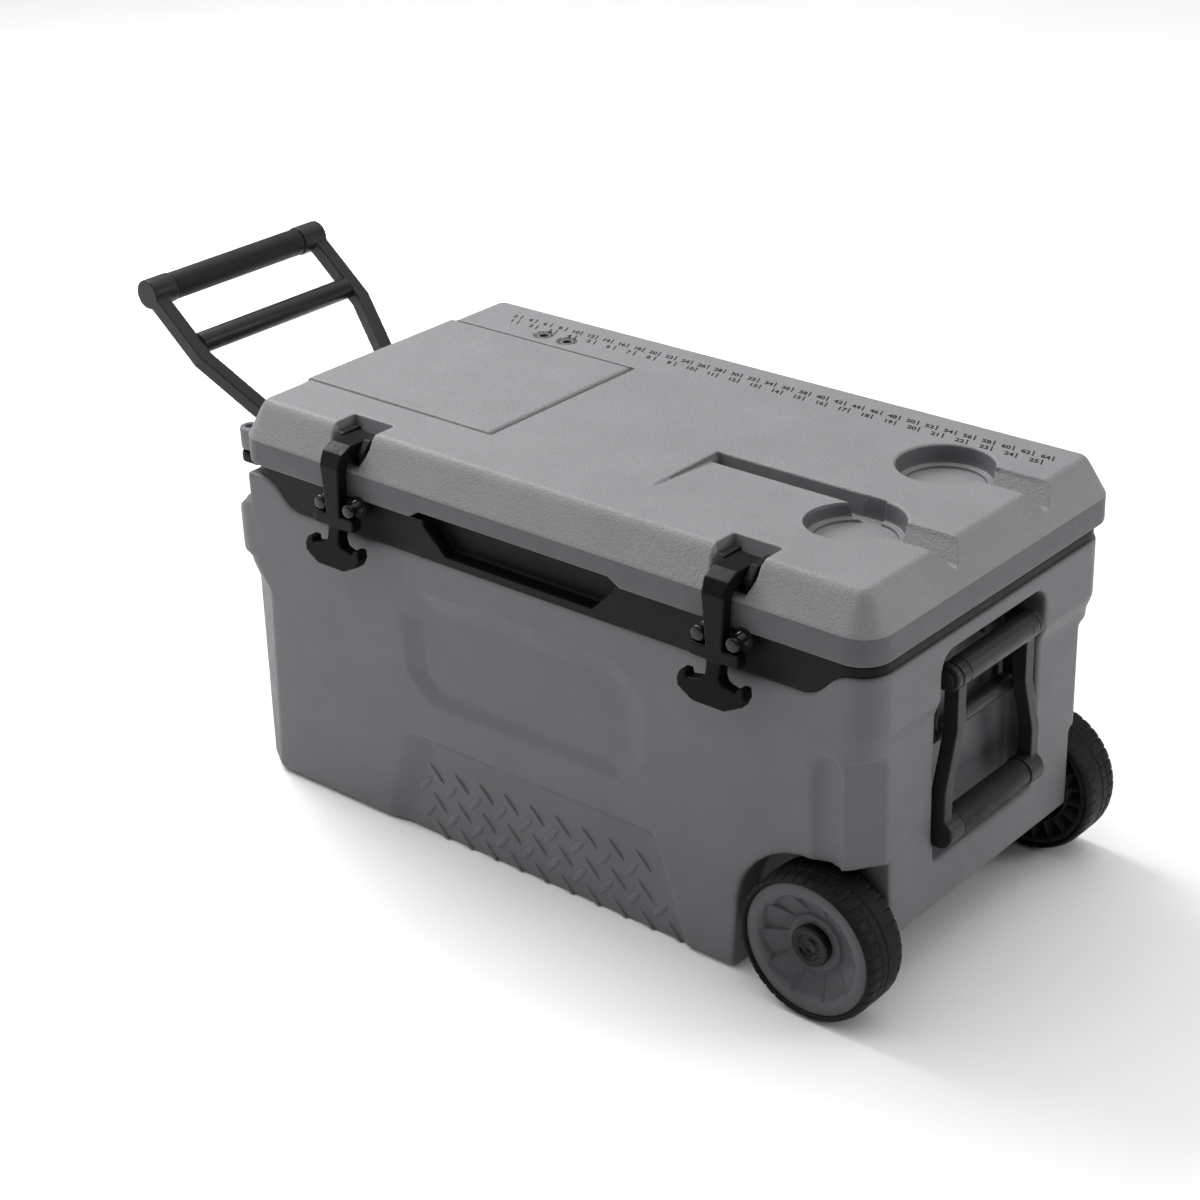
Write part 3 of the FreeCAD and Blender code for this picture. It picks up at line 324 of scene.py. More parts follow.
def rubber(name, colour, rough, dust, shine=0.1):
    """Rubber with a dull skin, mould texture and pale dust in patches."""
    n = Nodes(name)
    patch = n.noise(22.0, 6.0, 0.65)
    level = n.spread(patch, 0.85, 1.0 + dust)
    base = n.add("ShaderNodeVectorMath", {0: colour, "Scale": level}, operation="SCALE").outputs[0]
    # Lighter edges: partly rubbed wear, partly painted highlight.
    base = edge_highlight_and_wear(n, base, 0.5)
    gloss = n.spread(n.noise(6.0, 4.0), rough - 0.08, rough + 0.08)
    pits = n.bump(n.noise(0.9, 3.0, 0.6), 0.08, 0.8)
    return n.finish(base, gloss, pits, shine=shine)


def brushed_metal(name, colour, rough):
    """Metal with fine drawn lines along the piece."""
    n = Nodes(name)
    lines = n.noise(0.6, 4.0, 0.6, (1.0, 0.04, 1.0))
    base = n.tint(colour, n.noise(12.0, 3.0), 0.08)
    gloss = n.spread(lines, rough - 0.08, rough + 0.1)
    return n.finish(base, gloss, n.bump(lines, 0.01, 0.5), metallic=1.0)


def foam_skin(name, colour):
    n = Nodes(name)
    base = n.tint(colour, n.noise(4.0, 4.0), 0.15)
    gloss = n.spread(n.noise(3.0), 0.85, 0.95)
    return n.finish(base, gloss, n.bump(n.cells(1.5), 0.3))


def floor_paint(name):
    n = Nodes(name)
    base = n.tint((0.92, 0.92, 0.92), n.noise(900.0, 2.0), 0.01)
    gloss = n.spread(n.noise(300.0, 3.0), 0.55, 0.65)
    return n.finish(base, gloss, n.bump(n.noise(2.0), 0.01, 0.2))


GREY = (0.222, 0.223, 0.230)
TUB_GREY = (0.132, 0.133, 0.142)
BLACK = (0.006, 0.006, 0.0065)
materials = {
    "lid_top": grained_plastic("lid_top_grain", GREY, 0.50, 2.2, 0.42, 0.10),
    # The tub's strong edge lightening paints a highlight along its edges, on top of wear.
    "shell_grey": grained_plastic("shell_grain", TUB_GREY, 0.46, 1.7, 0.16, 0.04,
                                   wear_and_highlight=0.7),
    "hatch_grey": grained_plastic("hatch_grain", GREY, 0.50, 2.2, 0.42, 0.10),
    "lid_band": smooth_plastic("lid_band_smooth", (0.118, 0.117, 0.125), 0.46, wear_and_highlight=0.4),
    "liner_grey": smooth_plastic("liner_smooth", (0.42, 0.43, 0.44), 0.4),
    "foam": foam_skin("foam_skin", (0.78, 0.72, 0.55)),
    "band_black": smooth_plastic("band_satin", BLACK, 0.46),
    "latch_rubber": rubber("latch_rubber", (0.004, 0.004, 0.0045), 0.38, 0.15),
    "hinge_black": smooth_plastic("hinge_satin", (0.009, 0.009, 0.0095), 0.36),
    "handle_black": smooth_plastic("handle_satin", (0.016, 0.016, 0.018), 0.38, wear_and_highlight=0.4,
                                   shine=0.25),
    "grip_black": rubber("grip_rubber", (0.022, 0.022, 0.024), 0.46, 0.2),
    "bolt_black": smooth_plastic("bolt_paint", (0.02, 0.02, 0.02), 0.36),
    "sleeve_black": smooth_plastic("sleeve_nylon", (0.03, 0.03, 0.03), 0.4),
    "cap_black": smooth_plastic("cap_satin", (0.006, 0.006, 0.007), 0.28, coat=0.2, wear_and_highlight=0.4),
    "cap_grey": smooth_plastic("cap_grey", (0.15, 0.15, 0.155), 0.5),
    "peg_black": smooth_plastic("peg_black", (0.006, 0.006, 0.0065), 0.26, coat=0.4),
    "hub_grey": smooth_plastic("hub_grey", (0.100, 0.098, 0.106), 0.40),
    "hub_back": smooth_plastic("hub_back", (0.03, 0.03, 0.032), 0.5),
    "seal_rubber": rubber("seal_rubber", (0.03, 0.03, 0.03), 0.6, 0.3),
    "steel": brushed_metal("steel_brushed", (0.55, 0.55, 0.56), 0.32),
    "tube_alu": brushed_metal("tube_drawn", (0.72, 0.72, 0.74), 0.35),
    "tyre": rubber("tyre_rubber", (0.007, 0.007, 0.0075), 0.5, 0.5),
    # Dark strokes painting the shade of the ruler's moulded marks.
    "ruler_mark_shade": smooth_plastic("mark_shadow", (0.016, 0.016, 0.017), 0.6),
    # Black used as painted shade in the vent plugs' pit, groove and outer edge.
    "vent_painted_shade": smooth_plastic("vent_painted_shade", (0.006, 0.006, 0.006), 0.6),
}


def paint_cad_nodes():
    """Every CAD piece takes the material of its slot."""
    for part in frame["record"]["subparts"]:
        mesh = frame["nodes"][part["node"]].data
        mesh.materials.clear()
        mesh.materials.append(materials[part["material_slot"]])


# --- lid ------------------------------------------------------------------------------
def grid_lines(breaks, step):
    """Grid lines through every break and no further apart than step."""
    lines = [breaks[0]]
    for a, b in zip(breaks, breaks[1:]):
        count = max(1, math.ceil((b - a) / step))
        lines += [a + (b - a) * k / count for k in range(1, count + 1)]
    return np.array(lines)


def round_corners(x, y, half_x, half_y, r):
    """Bend a square grid's corners so that its rim follows a rounded rectangle."""
    a = np.clip((np.abs(x) - (half_x - r)) / r, 0, 1)
    b = np.clip((np.abs(y) - (half_y - r)) / r, 0, 1)
    reach = np.maximum(a, b)
    small = np.maximum(reach, 1e-9)
    angle = np.where(a >= b, math.pi / 4 * b / small, math.pi / 2 - math.pi / 4 * a / small)
    corner = (a > 0) & (b > 0)
    bent_x = np.sign(x) * (half_x - r + r * reach * np.cos(angle))
    bent_y = np.sign(y) * (half_y - r + r * reach * np.sin(angle))
    return np.where(corner, bent_x, x), np.where(corner, bent_y, y)


def rim_distance(x, y, half_x, half_y, r, cx=0.0, cy=0.0):
    """Distance inside a rounded rectangle, negative outside it."""
    qx = np.abs(x - cx) - (half_x - r)
    qy = np.abs(y - cy) - (half_y - r)
    outside = np.hypot(np.maximum(qx, 0), np.maximum(qy, 0))
    return r - outside - np.minimum(np.maximum(qx, qy), 0)


def block_distance(x, y, block, r):
    x0, x1, y0, y1 = block
    return rim_distance(x, y, (x1 - x0) / 2, (y1 - y0) / 2, r, (x0 + x1) / 2, (y0 + y1) / 2)


def smooth_min(a, b, k):
    h = np.clip(0.5 + 0.5 * (b - a) / k, 0, 1)
    return b + (a - b) * h - k * h * (1 - h)


def sink(z, inside, floor, rim=2.0, foot=2.0, draft=1.0):
    """Press a pocket into height z: rolled rim outside its edge, steep wall, rounded foot."""
    depth = LID_TOP_Z - floor
    share = np.clip(depth / (rim + foot), 0, 1)
    over = np.clip((inside + rim) / rim, 0, 1)
    drop = rim * share * (1 - np.sqrt(1 - over * over))
    drop = drop + np.clip(inside / draft, 0, 1) * (depth - (rim + foot) * share)
    left = 1 - np.clip((inside - draft) / foot, 0, 1)
    drop = drop + foot * share * np.where(inside > draft, np.sqrt(1 - left * left), 0)
    return np.minimum(z, LID_TOP_Z - drop)


def press_hatch_bay(z, x, y):
    """Bay that the hatch lies in, and the bin under it."""
    bay = (-PAST_LID_X, HATCH[1] + 3.5, HATCH[2] - 2.2, HATCH[3] + 2.2)
    z = sink(z, block_distance(x, y, bay, 2.0), HATCH_BAY_Z, rim=1.5, foot=1.0, draft=0.4)
    return sink(z, block_distance(x, y, BIN, 10.0), BIN_FLOOR_Z, rim=0.3, foot=1.0)


def press_tray(z, x, y):
    """Tray that slopes down to the phone groove along its far side."""
    x0, x1, y0, y1 = TRAY
    fall = np.clip((y - y0) / (y1 - GROOVE_WIDTH - y0), 0, 1)
    ramp = LID_TOP_Z - TRAY_DEPTH - TRAY_FALL * fall
    z = sink(z, block_distance(x, y, TRAY, 3.0), ramp, rim=0.9, foot=0.8, draft=0.4)
    groove = (x0 + 2, x1 + 8, y1 - GROOVE_WIDTH, y1)
    return sink(z, block_distance(x, y, groove, 2.5), GROOVE_FLOOR_Z, rim=1.8)


def press_cup(z, x, y, cx, cy):
    """Cup holder with a ledge round its floor, and the channel that drains it."""
    inside = CUP_R - np.hypot(x - cx, y - cy)
    ledge = CUP_LEDGE * np.clip((inside - 5.6) / 1.2, 0, 1)
    z = sink(z, inside, CUP_FLOOR_Z - ledge, rim=3.6, foot=1.6, draft=1.2)
    near, far = cy - CHANNEL_NEAR, cy + CHANNEL_FAR
    far_side = CHANNEL_FAR_Z - 1.33 * (far - y)
    near_side = LID_TOP_Z - 1.15 * (y - near)
    floor = np.maximum(CHANNEL_FLOOR_Z, np.maximum(far_side, near_side))
    channel = block_distance(x, y, (cx + 30, PAST_LID_X, near, far), 3.0)
    return sink(z, channel, floor, rim=1.4, foot=0.5, draft=0.6)


def press_latch_notch(z, x, y, middle):
    """Notch in the lid's edge for a latch, its floor rising at both ends."""
    floor = NOTCH_FLOOR_Z + np.clip(np.abs(x - middle) - 17.0, 0, 8.0) * 2.4
    notch = block_distance(x, y, (middle - NOTCH_HALF, middle + NOTCH_HALF, *NOTCH_Y), 3.0)
    return sink(z, notch, floor, rim=2.5, foot=1.0, draft=0.6)


def lid_height(x, y):
    """Height of the lid's top: bevelled all round, then every pocket pressed into it."""
    edge = rim_distance(x, y, LID_HALF_X, LID_HALF_Y, LID_CORNER_R)
    rise = (LID_TOP_Z - LID_CREASE_Z) / BEVEL_IN
    z = smooth_min(LID_CREASE_Z + rise * edge, LID_TOP_Z + 0 * edge, 9.0)
    z = press_hatch_bay(z, x, y)
    z = press_tray(z, x, y)
    for cx, cy in CUPS:
        z = press_cup(z, x, y, cx, cy)
    for side in (-1, 1):
        z = press_latch_notch(z, x, y, side * LATCH_X)
    for cx, cy in VENTS:
        seat = VENT_SEAT_R - np.hypot(x - cx, y - cy)
        z = sink(z, seat, VENT_SEAT_Z, rim=0.7, foot=0.3, draft=0.3)
    return z


def snap_to_rings(x, y, centre, r, levels):
    """Move the grid near a vent's seat onto circles, so that its wall comes out clean."""
    dx, dy = x - centre[0], y - centre[1]
    away = np.maximum(np.hypot(dx, dy), 1e-6)
    inside = r - away
    levels = np.asarray(levels)
    nearest = levels[np.abs(inside[..., None] - levels).argmin(-1)]
    step = (levels[1] - levels[0]) / 2
    near = (inside > levels[0] - step) & (inside < levels[-1] + step)
    scale = np.where(near, (r - nearest) / away, 1.0)
    return centre[0] + dx * scale, centre[1] + dy * scale


def shaded_wall_faces(points, quads):
    """Which faces of a pocket stand upright enough to take the darker band material as painted
    shade.
    """
    corners = points[quads]
    normal = np.cross(corners[:, 2] - corners[:, 0], corners[:, 3] - corners[:, 1])
    upright = np.abs(normal[:, 2]) < WALL_SLOPE * np.linalg.norm(normal, axis=1)
    middle = corners.mean(axis=1)
    inside = rim_distance(middle[:, 0], middle[:, 1], LID_HALF_X, LID_HALF_Y, LID_CORNER_R)
    channel = np.abs(middle[:, 0] - CHANNEL_X) < CHANNEL_REACH
    return upright & (inside > BEVEL_IN + 2) & ~channel


def cup_patch(name, centre):
    """Round patch of the lid's top around a cup holder, its rings following the wall."""
    steps = 320
    radii = np.append(np.linspace(0.01, 33, 14), np.arange(34.0, CUP_PATCH_R, 0.45))
    turn = np.linspace(0, 2 * math.pi, steps, endpoint=False)
    rr, aa = np.meshgrid(radii, turn, indexing="ij")
    x, y = centre[0] + rr * np.cos(aa), centre[1] + rr * np.sin(aa)
    points = np.stack([x, y, lid_height(x, y) + 0.02], -1).reshape(-1, 3)
    quads = grid_quads(len(radii), steps, wrap=True)[:, ::-1]
    patch = new_mesh(name, points, quads)
    link(patch, "lid", materials["lid_top"])
    patch.data.materials.append(materials["lid_band"])
    # Upright cup walls take the darker band material as painted shade.
    steep = shaded_wall_faces(points, quads).astype(np.int32)
    patch.data.polygons.foreach_set("material_index", steep)


def finger_rise(x, y):
    """How far the lid's lower edge is raised over the finger pocket."""
    ramp = np.clip((FINGER_GAP - np.abs(x - POCKET_X)) / FINGER_RAMP, 0, 1)
    return np.where(y < -LID_HALF_Y + 12, FINGER_RISE * ramp, 0.0)


def lid_lines():
    """Grid lines of the lid's top, closer together where the pockets are."""
    xs = grid_lines([-365, -356, -336, -330, -248, -242, -196, -109.5, -107, 80, 82, 206],
                    COARSE)
    xs = np.append(xs, grid_lines([206, 253, 261, 365], FINE)[1:])
    ys = grid_lines([-187.5, -168, -145, -142.5, -108], COARSE)
    ys = np.append(ys, grid_lines([-108, -101, -92, -88, -44, -29, -27, -18, -14], FINE)[1:])
    ys = np.append(ys, grid_lines([-14, 30, 62, 79, 82, 96, 98.5, 100, 128], FINE)[1:])
    ys = np.append(ys, grid_lines([128, 168, 187.5], COARSE)[1:])
    return np.meshgrid(xs, ys)


def lid_top():
    """Points and faces of the lid's top, left open where the cup patches go."""
    gx, gy = lid_lines()
    px, py = round_corners(gx, gy, LID_HALF_X, LID_HALF_Y, LID_CORNER_R)
    for centre in VENTS:
        px, py = snap_to_rings(px, py, centre, VENT_SEAT_R, (-1.5, -0.7, 0.0, 0.6))
    points = np.stack([px, py, lid_height(px, py)], -1).reshape(-1, 3)
    quads = grid_quads(*gx.shape)
    for cx, cy in CUPS:
        away = np.hypot(px.ravel() - cx, py.ravel() - cy)
        quads = quads[(away[quads] > CUP_PATCH_R - 1.5).any(axis=1)]
    return points, quads, rim_loop(*gx.shape)


def rim_loop(rows, columns):
    """Indices of a grid's outermost vertices, once round."""
    index = np.arange(rows * columns).reshape(rows, columns)
    return np.concatenate([index[0, :-1], index[:-1, -1], index[-1, :0:-1], index[:0:-1, 0]])


def lid_skirt(rim, loop, start):
    """The lid's upright side and its turned-in lower edge, ring by ring."""
    low = LID_EDGE_Z + finger_rise(rim[:, 0], rim[:, 1])
    inset_and_drop = ((0.0, 0.06), (0.0, 0.5), (0.0, 0.9), (0.3, 0.97), (1.2, 1.0),
                      (5.0, 1.0), (5.0, 0.85))
    rings, quads = [], []
    upper = loop
    for inset, drop in inset_and_drop:
        ring = rim.copy()
        ring[:, 0] *= 1 - inset / LID_HALF_X
        ring[:, 1] *= 1 - inset / LID_HALF_Y
        ring[:, 2] = rim[:, 2] + (low - rim[:, 2]) * drop
        rings.append(ring)
        lower = start + np.arange(len(loop))
        quads.append(np.stack([upper, lower, np.roll(lower, -1), np.roll(upper, -1)], -1))
        start += len(loop)
        upper = lower
    return rings, quads


def make_lid():
    points, top, loop = lid_top()
    rings, sides = lid_skirt(points[loop], loop, len(points))
    lid = new_mesh("lid_moulding", np.concatenate([points] + rings), np.concatenate([top] + sides))
    link(lid, "lid", materials["lid_top"], ["lid_shell"])
    lid.data.materials.append(materials["lid_band"])
    centres = np.zeros(len(lid.data.polygons) * 3)
    lid.data.polygons.foreach_get("center", centres)
    # Faces below the crease take the band material as the lid's own smoother band; the upright
    # pocket walls in the top take it as painted shade.
    smooth = centres.reshape(-1, 3)[:, 2] < (LID_CREASE_Z - 0.2) * MM
    smooth[:len(top)] = shaded_wall_faces(points, top)
    lid.data.polygons.foreach_set("material_index", smooth.astype(np.int32))
    cup_patch("cup_holder_far", CUPS[0])
    cup_patch("cup_holder_near", CUPS[1])


def circle(cx, cy, r, steps=32, start=0.0, end=360.0):
    turn = np.radians(np.linspace(start, end, steps, endpoint=end - start < 360))
    return [(cx + r * math.cos(t), cy + r * math.sin(t)) for t in turn]


def make_padlock_eye():
    """Ear with a hole on the lid's corner at the tow end."""
    outline = circle(-377, -158, 11.0, 24, 90, 270)
    outline += [(-350, -169), (-350, -147)]
    hole = circle(-378, -158, 4.5, 24)
    place = Matrix.Translation((0, 0, 356 * MM))
    eye = plate("padlock_eye_lid", [outline, hole], 22.0, 2.0, place)
    link(eye, "lid", materials["shell_grey"])


def make_pocket_roof():
    """Solid edge of the lid over the finger pocket: a raised roof and the lip behind it."""
    top = LID_EDGE_Z + FINGER_RISE + 4.3
    ends = (-FINGER_GAP, -FINGER_GAP + FINGER_RAMP, FINGER_GAP - FINGER_RAMP, FINGER_GAP)
    low = (0.0, FINGER_RISE, FINGER_RISE, 0.0)
    roof = [(x, LID_EDGE_Z + z + 0.1) for x, z in zip(ends, low)]
    lip = [(-FINGER_GAP, LID_EDGE_Z + 0.1), (FINGER_GAP, LID_EDGE_Z + 0.1)]
    close = [(FINGER_GAP, top), (-FINGER_GAP, top)]
    for name, outline, near, far in (("roof", roof, -LID_HALF_Y + 4.9, LIP_NEAR_Y),
                                     ("lip", lip, LIP_NEAR_Y, LIP_FAR_Y)):
        outline = [(POCKET_X + x, z) for x, z in outline + close]
        place = Matrix.Translation((0, (near + far) / 2 * MM, 0))
        place = place @ Matrix.Rotation(math.pi / 2, 4, "X")
        piece = plate(f"lid_pocket_{name}", [outline], far - near, 0.4, place)
        link(piece, "lid", materials["lid_band"])


def roll_off(inside, r):
    """How far a rounded edge of radius r has dropped, from the distance inside it."""
    over = np.clip(r - inside, 0, r)
    return r - np.sqrt(np.maximum(r * r - over ** 2, 0))


def make_hatch():
    """Hatch panel: rolled ends, soft front and back edges."""
    x0, x1, y0, y1 = HATCH
    gx, gy = np.meshgrid(grid_lines([x0, x0 + 8, x1 - 10, x1], 1.3),
                         grid_lines([y0, y0 + 4, y1 - 4, y1], 1.3))
    z = LID_TOP_Z + 0.4 - roll_off(np.minimum(gy - y0, y1 - gy), 2.0)
    z = z - roll_off(x1 - gx, 5.0) - roll_off(gx - x0, 7.0)
    top = np.stack([gx, gy, z], -1).reshape(-1, 3)
    loop = rim_loop(*gx.shape)
    skirt = top[loop].copy()
    skirt[:, 2] = np.minimum(skirt[:, 2], HATCH_FOOT_Z)
    under = top.copy()
    under[:, 2] = HATCH_FOOT_Z
    low = len(top) + np.arange(len(loop))
    quads = [grid_quads(*gx.shape),
             np.stack([loop, low, np.roll(low, -1), np.roll(loop, -1)], -1),
             grid_quads(*gx.shape, len(top) + len(loop))[:, ::-1]]
    hatch = new_mesh("hatch_panel", np.concatenate([top, skirt, under]), np.concatenate(quads))
    link(hatch, "hatch", materials["hatch_grey"], ["access_hatch"])


# --- small pieces on the lid ----------------------------------------------------------
def make_vents():
    """Two round plugs with a ring groove and a key pit; the pit, the groove and the plug's outer
    edge are painted black as shade.
    """
    for number, (cx, cy) in enumerate(VENTS):
        body = lathe(f"vent_plug_{number + 1}",
                     [(9.8, 0), (9.8, 1.2), (9.2, 1.8), (8.4, 1.8), (8.0, 1.0), (7.6, 1.8),
                      (5.0, 2.0), (4.6, 1.6), (4.2, 0.2), (0, 0.2)],
                     (0, 0, 0), steps=48)
        body.data.transform(Matrix.Translation((cx * MM, cy * MM, 402.2 * MM))
                            @ Matrix.Rotation(math.pi / 2, 4, "X"))
        link(body, "lid", materials["cap_grey"], ["vent_plugs"])
        body.data.materials.append(materials["vent_painted_shade"])
        # Painted shade: the key pit, the ring groove and the plug's outer edge take the black
        # material.
        for face in body.data.polygons:
            out = math.hypot(face.center.x - cx * MM, face.center.y - cy * MM)
            face.material_index = int(out < 4.4 * MM or 7.7 * MM < out < 8.3 * MM or out > 9 * MM)


def add_text(name, words, size, place):
    curve = bpy.data.curves.new(name, "FONT")
    curve.body = words
    curve.size = size * MM
    curve.align_x = "CENTER"
    curve.extrude = 0.04 * MM
    curve.offset = 0.34 * MM
    curve.resolution_u = 3
    obj = bpy.data.objects.new(name, curve)
    bpy.context.scene.collection.objects.link(obj)
    graph = bpy.context.evaluated_depsgraph_get()
    mesh = bpy.data.meshes.new_from_object(obj.evaluated_get(graph))
    bpy.data.objects.remove(obj)
    mesh.transform(place)
    return mesh


def make_ruler():
    """Ruler moulded along the lid's back edge: a metric row and an inch row, slanting back, its
    numbers and ticks dark strokes that paint the shade of the moulded marks.
    """
    work = bmesh.new()
    slant = Matrix.Identity(4)
    slant[0][1] = -0.40
    lift = (LID_TOP_Z + 0.03) * MM
    rows = ((-316.0, 20.0, 32, 2, 136.4), (-315.2, 25.4, 25, 1, 124.2))
    for start, pitch, count, unit, y in rows:
        for k in range(1, count + 1):
            tip = Matrix.Translation(((start + pitch * k) * MM, (y + 9.6) * MM, lift))
            place = tip @ slant @ Matrix.Translation((-7.6 * MM, -8.6 * MM, 0))
            mesh = add_text("ruler_number", str(k * unit), 9.6, place)
            work.from_mesh(mesh)
            bpy.data.meshes.remove(mesh)
            tick = tip @ slant @ Matrix.Translation((0, -5.0 * MM, 0))
            tick = tick @ Matrix.Diagonal((1.5 * MM, 10.0 * MM, 0.1 * MM, 1))
            bmesh.ops.create_cube(work, size=1.0, matrix=tick)
    mesh = bpy.data.meshes.new("lid_ruler")
    work.to_mesh(mesh)
    work.free()
    ruler = bpy.data.objects.new("lid_ruler", mesh)
    bpy.context.scene.collection.objects.link(ruler)
    link(ruler, "lid", materials["ruler_mark_shade"])


# --- tub ------------------------------------------------------------------------------
def make_tub():
    tub = soften("tub_moulding", "tub_shell", 2.1, 9)
    link(tub, "tub", materials["shell_grey"], ["tub_shell"])
    band = soften("rim_band_moulding", "rim_band", 1.5, 2)
    link(band, "tub", materials["band_black"], ["rim_band"])


def leaf(work, x, z, y, tilt, width, height):
    """One raised leaf of the tread: pointed ends, domed across."""
    length = 13.2
    rings = []
    for u in np.linspace(-1, 1, 15):
        half = width / 2 * (1 - u * u) ** 0.7
        rise = height * (1 - u ** 4)
        ring = []
        for v in np.linspace(-1, 1, 9):
            along, across = u * length, v * half
            px = x + along * math.cos(tilt) - across * math.sin(tilt)
            pz = max(z + along * math.sin(tilt) + across * math.cos(tilt), 0.5)
            out = rise * (1 - v ** 4) - 0.4
            ring.append(work.verts.new((px * MM, (y - out) * MM, pz * MM)))
        rings.append(ring)
    for a, b in zip(rings, rings[1:]):
        for k in range(len(a) - 1):
            work.faces.new((a[k], a[k + 1], b[k + 1], b[k]))


def make_tread():
    """Diamond plate at the foot of the front: slim ridges one way, broad leaves the other."""
    work = bmesh.new()
    slim, broad = (-45, 4.6, 2.4), (48, 8.4, 1.7)
    rows = ((69.5, -143.3, 9, slim), (54.6, -158.4, 9, broad), (38.2, -142.0, 9, slim),
            (24.6, -157.0, 10, broad), (8.0, -141.0, 10, slim))
    for z, first_x, count, (tilt, width, height) in rows:
        for k in range(count):
            x = first_x + k * TREAD_PITCH
            leaf(work, x, z, TREAD_Y, math.radians(tilt), width, height)
    bmesh.ops.remove_doubles(work, verts=work.verts, dist=1e-6)
    bmesh.ops.recalc_face_normals(work, faces=work.faces)
    mesh = bpy.data.meshes.new("tread_leaves")
    work.to_mesh(mesh)
    work.free()
    for face in mesh.polygons:
        face.use_smooth = True
    tread = bpy.data.objects.new("tread_leaves", mesh)
    bpy.context.scene.collection.objects.link(tread)
    link(tread, "tub", materials["shell_grey"])


# --- latches --------------------------------------------------------------------------
def make_latches():
    for name in ("left", "right"):
        strap = soften(f"latch_{name}_strap", f"latch_strap_{name}", 0.9, 3)
        link(strap, f"latch_{name}", materials["latch_rubber"],
             [f"latch_strap_{name}"])
        bracket = soften(f"latch_{name}_bracket", f"latch_bracket_{name}", 0.7, 1)
        link(bracket, "lid", materials["hinge_black"], [f"latch_bracket_{name}"])
    stand_in = ["latch_keepers"]
    for side in (-1, 1):
        for offset in (-PEG_OFFSET, PEG_OFFSET):
            x = side * LATCH_X + offset
            label = f"latch_peg_{'left' if side < 0 else 'right'}_{'a' if offset < 0 else 'b'}"
            profile = [(0, 24.4), (3.5, 24.2)] + arc(4.6, 21.4, 2.6, 80, 0) + [(7.2, 10.0)]
            profile += arc(8.2, 7.5, 2.0, 90, 0, 4) + [(10.2, 0)]
            peg = lathe(label, profile[::-1], (x, PEG_ROOT_Y, PEG_Z), side=-1, steps=48)
            link(peg, "tub", materials["peg_black"], stand_in)
            stand_in = []
            peg.data.materials.append(materials["band_black"])
            for face in peg.data.polygons:
                face.material_index = int(face.center.y > PEG_COLLAR_Y * MM)


# --- handles --------------------------------------------------------------------------
def handle_place(pivot, turn):
    move = Matrix.Translation((pivot[0] * MM, 0, pivot[1] * MM))
    return move @ Matrix.Rotation(math.radians(turn), 4, "Y")


def handle_roll(name, at, r, half, place):
    """Round bar of a handle, lying along Y, with turned-in ends."""
    side = arc(r - 1.2, half - 1.2, 1.2, 90, 0, 4)
    profile = [(0, half)] + side + [(r, 0)] + [(a, -b) for a, b in reversed(side)] + [(0, -half)]
    roll = lathe(name, profile[::-1], (0, 0, -at), steps=72)
    roll.data.transform(place)
    return roll


def make_handles():
    side = handle_place((357.0, 287.5), 0)
    tow = handle_place((-364.0, 282.0), 130)
    for prefix, place, rolls in (
            ("side", side, (("grip", 145.0, 13.5, 53.6, "grip_black"),)),
            ("tow", tow, (("grip", 260.0, 14.0, 87.1, "grip_black"),
                          ("crossbar", 190.0, 11.0, 102.5, "handle_black")))):
        body = prefix + "_handle"
        for part, at, r, half, finish in rolls:
            roll = handle_roll(f"{prefix}_{part}_bar", at, r, half, place)
            link(roll, body, materials[finish], [f"{prefix}_{part}"])
        for where in ("front", "back"):
            arm = soften(f"{prefix}_{where}_arm", f"{prefix}_arm_{where}", 1.0, 3)
            link(arm, body, materials["handle_black"], [f"{prefix}_arm_{where}"])
        bracket = soften(f"{prefix}_ear_bracket", f"{prefix}_bracket", 1.0, 2)
        link(bracket, "tub", materials["handle_black"], [f"{prefix}_bracket"])


# --- wheels ---------------------------------------------------------------------------
def tyre_points(side):
    """Tyre surface as rings: square lugs on the outer shoulder, blocks, a seam, a plain back."""
    lugs = 38
    steps = lugs * 12
    mid = (WHEEL_OUT + WHEEL_IN) / 2
    half = (WHEEL_OUT - WHEEL_IN) / 2
    big = WHEEL_R
    section = [(62.3, half - 3.4), (62.8, half - 1.6), (64.0, half - 0.5), (65.2, half),
               (66.2, half - 0.5), (67.0, half - 1.6), (67.6, half - 3.2), (68.2, half - 5.0)]
    section += [(big - 0.5 * (y / half) ** 2, y) for y in np.linspace(half - 6.5, 1.4, 15)]
    section += [(big, 0.6)]
    section += [(r, -y) for r, y in reversed(section)]
    angle = np.linspace(0, 2 * math.pi, steps, endpoint=False)
    points = []
    for radius, y in section:
        phase = (angle / (2 * math.pi) * lugs + (0.0 if y > 0 else 0.5)) % 1.0
        gap = np.clip(1.5 - np.abs(phase - 0.5) / 0.07, 0, 1)
        outer_row = np.clip((y - 9.5) / 1.5, 0, 1)
        middle_row = 0.5 * np.clip((y - 1.0) / 1.5, 0, 1) * np.clip((8.0 - y) / 1.5, 0, 1)
        back_row = 0.9 * np.clip((-y - 12.0) / 2.5, 0, 1)
        reach = (outer_row + middle_row + back_row) * np.clip((radius - 64.0) / 2.5, 0, 1)
        seam = 0.8 if abs(y) < 0.8 else 0.0
        rib = 1.0 * np.clip(1 - abs(y - 8.8) / 1.6, 0, 1)
        r = radius - np.maximum(gap * 1.7 * reach, max(seam, rib))
        points.append(np.stack([WHEEL_X + r * np.cos(angle), np.full(steps, side * (mid + y)),
                                WHEEL_R + r * np.sin(angle)], -1))
    return np.array(points)


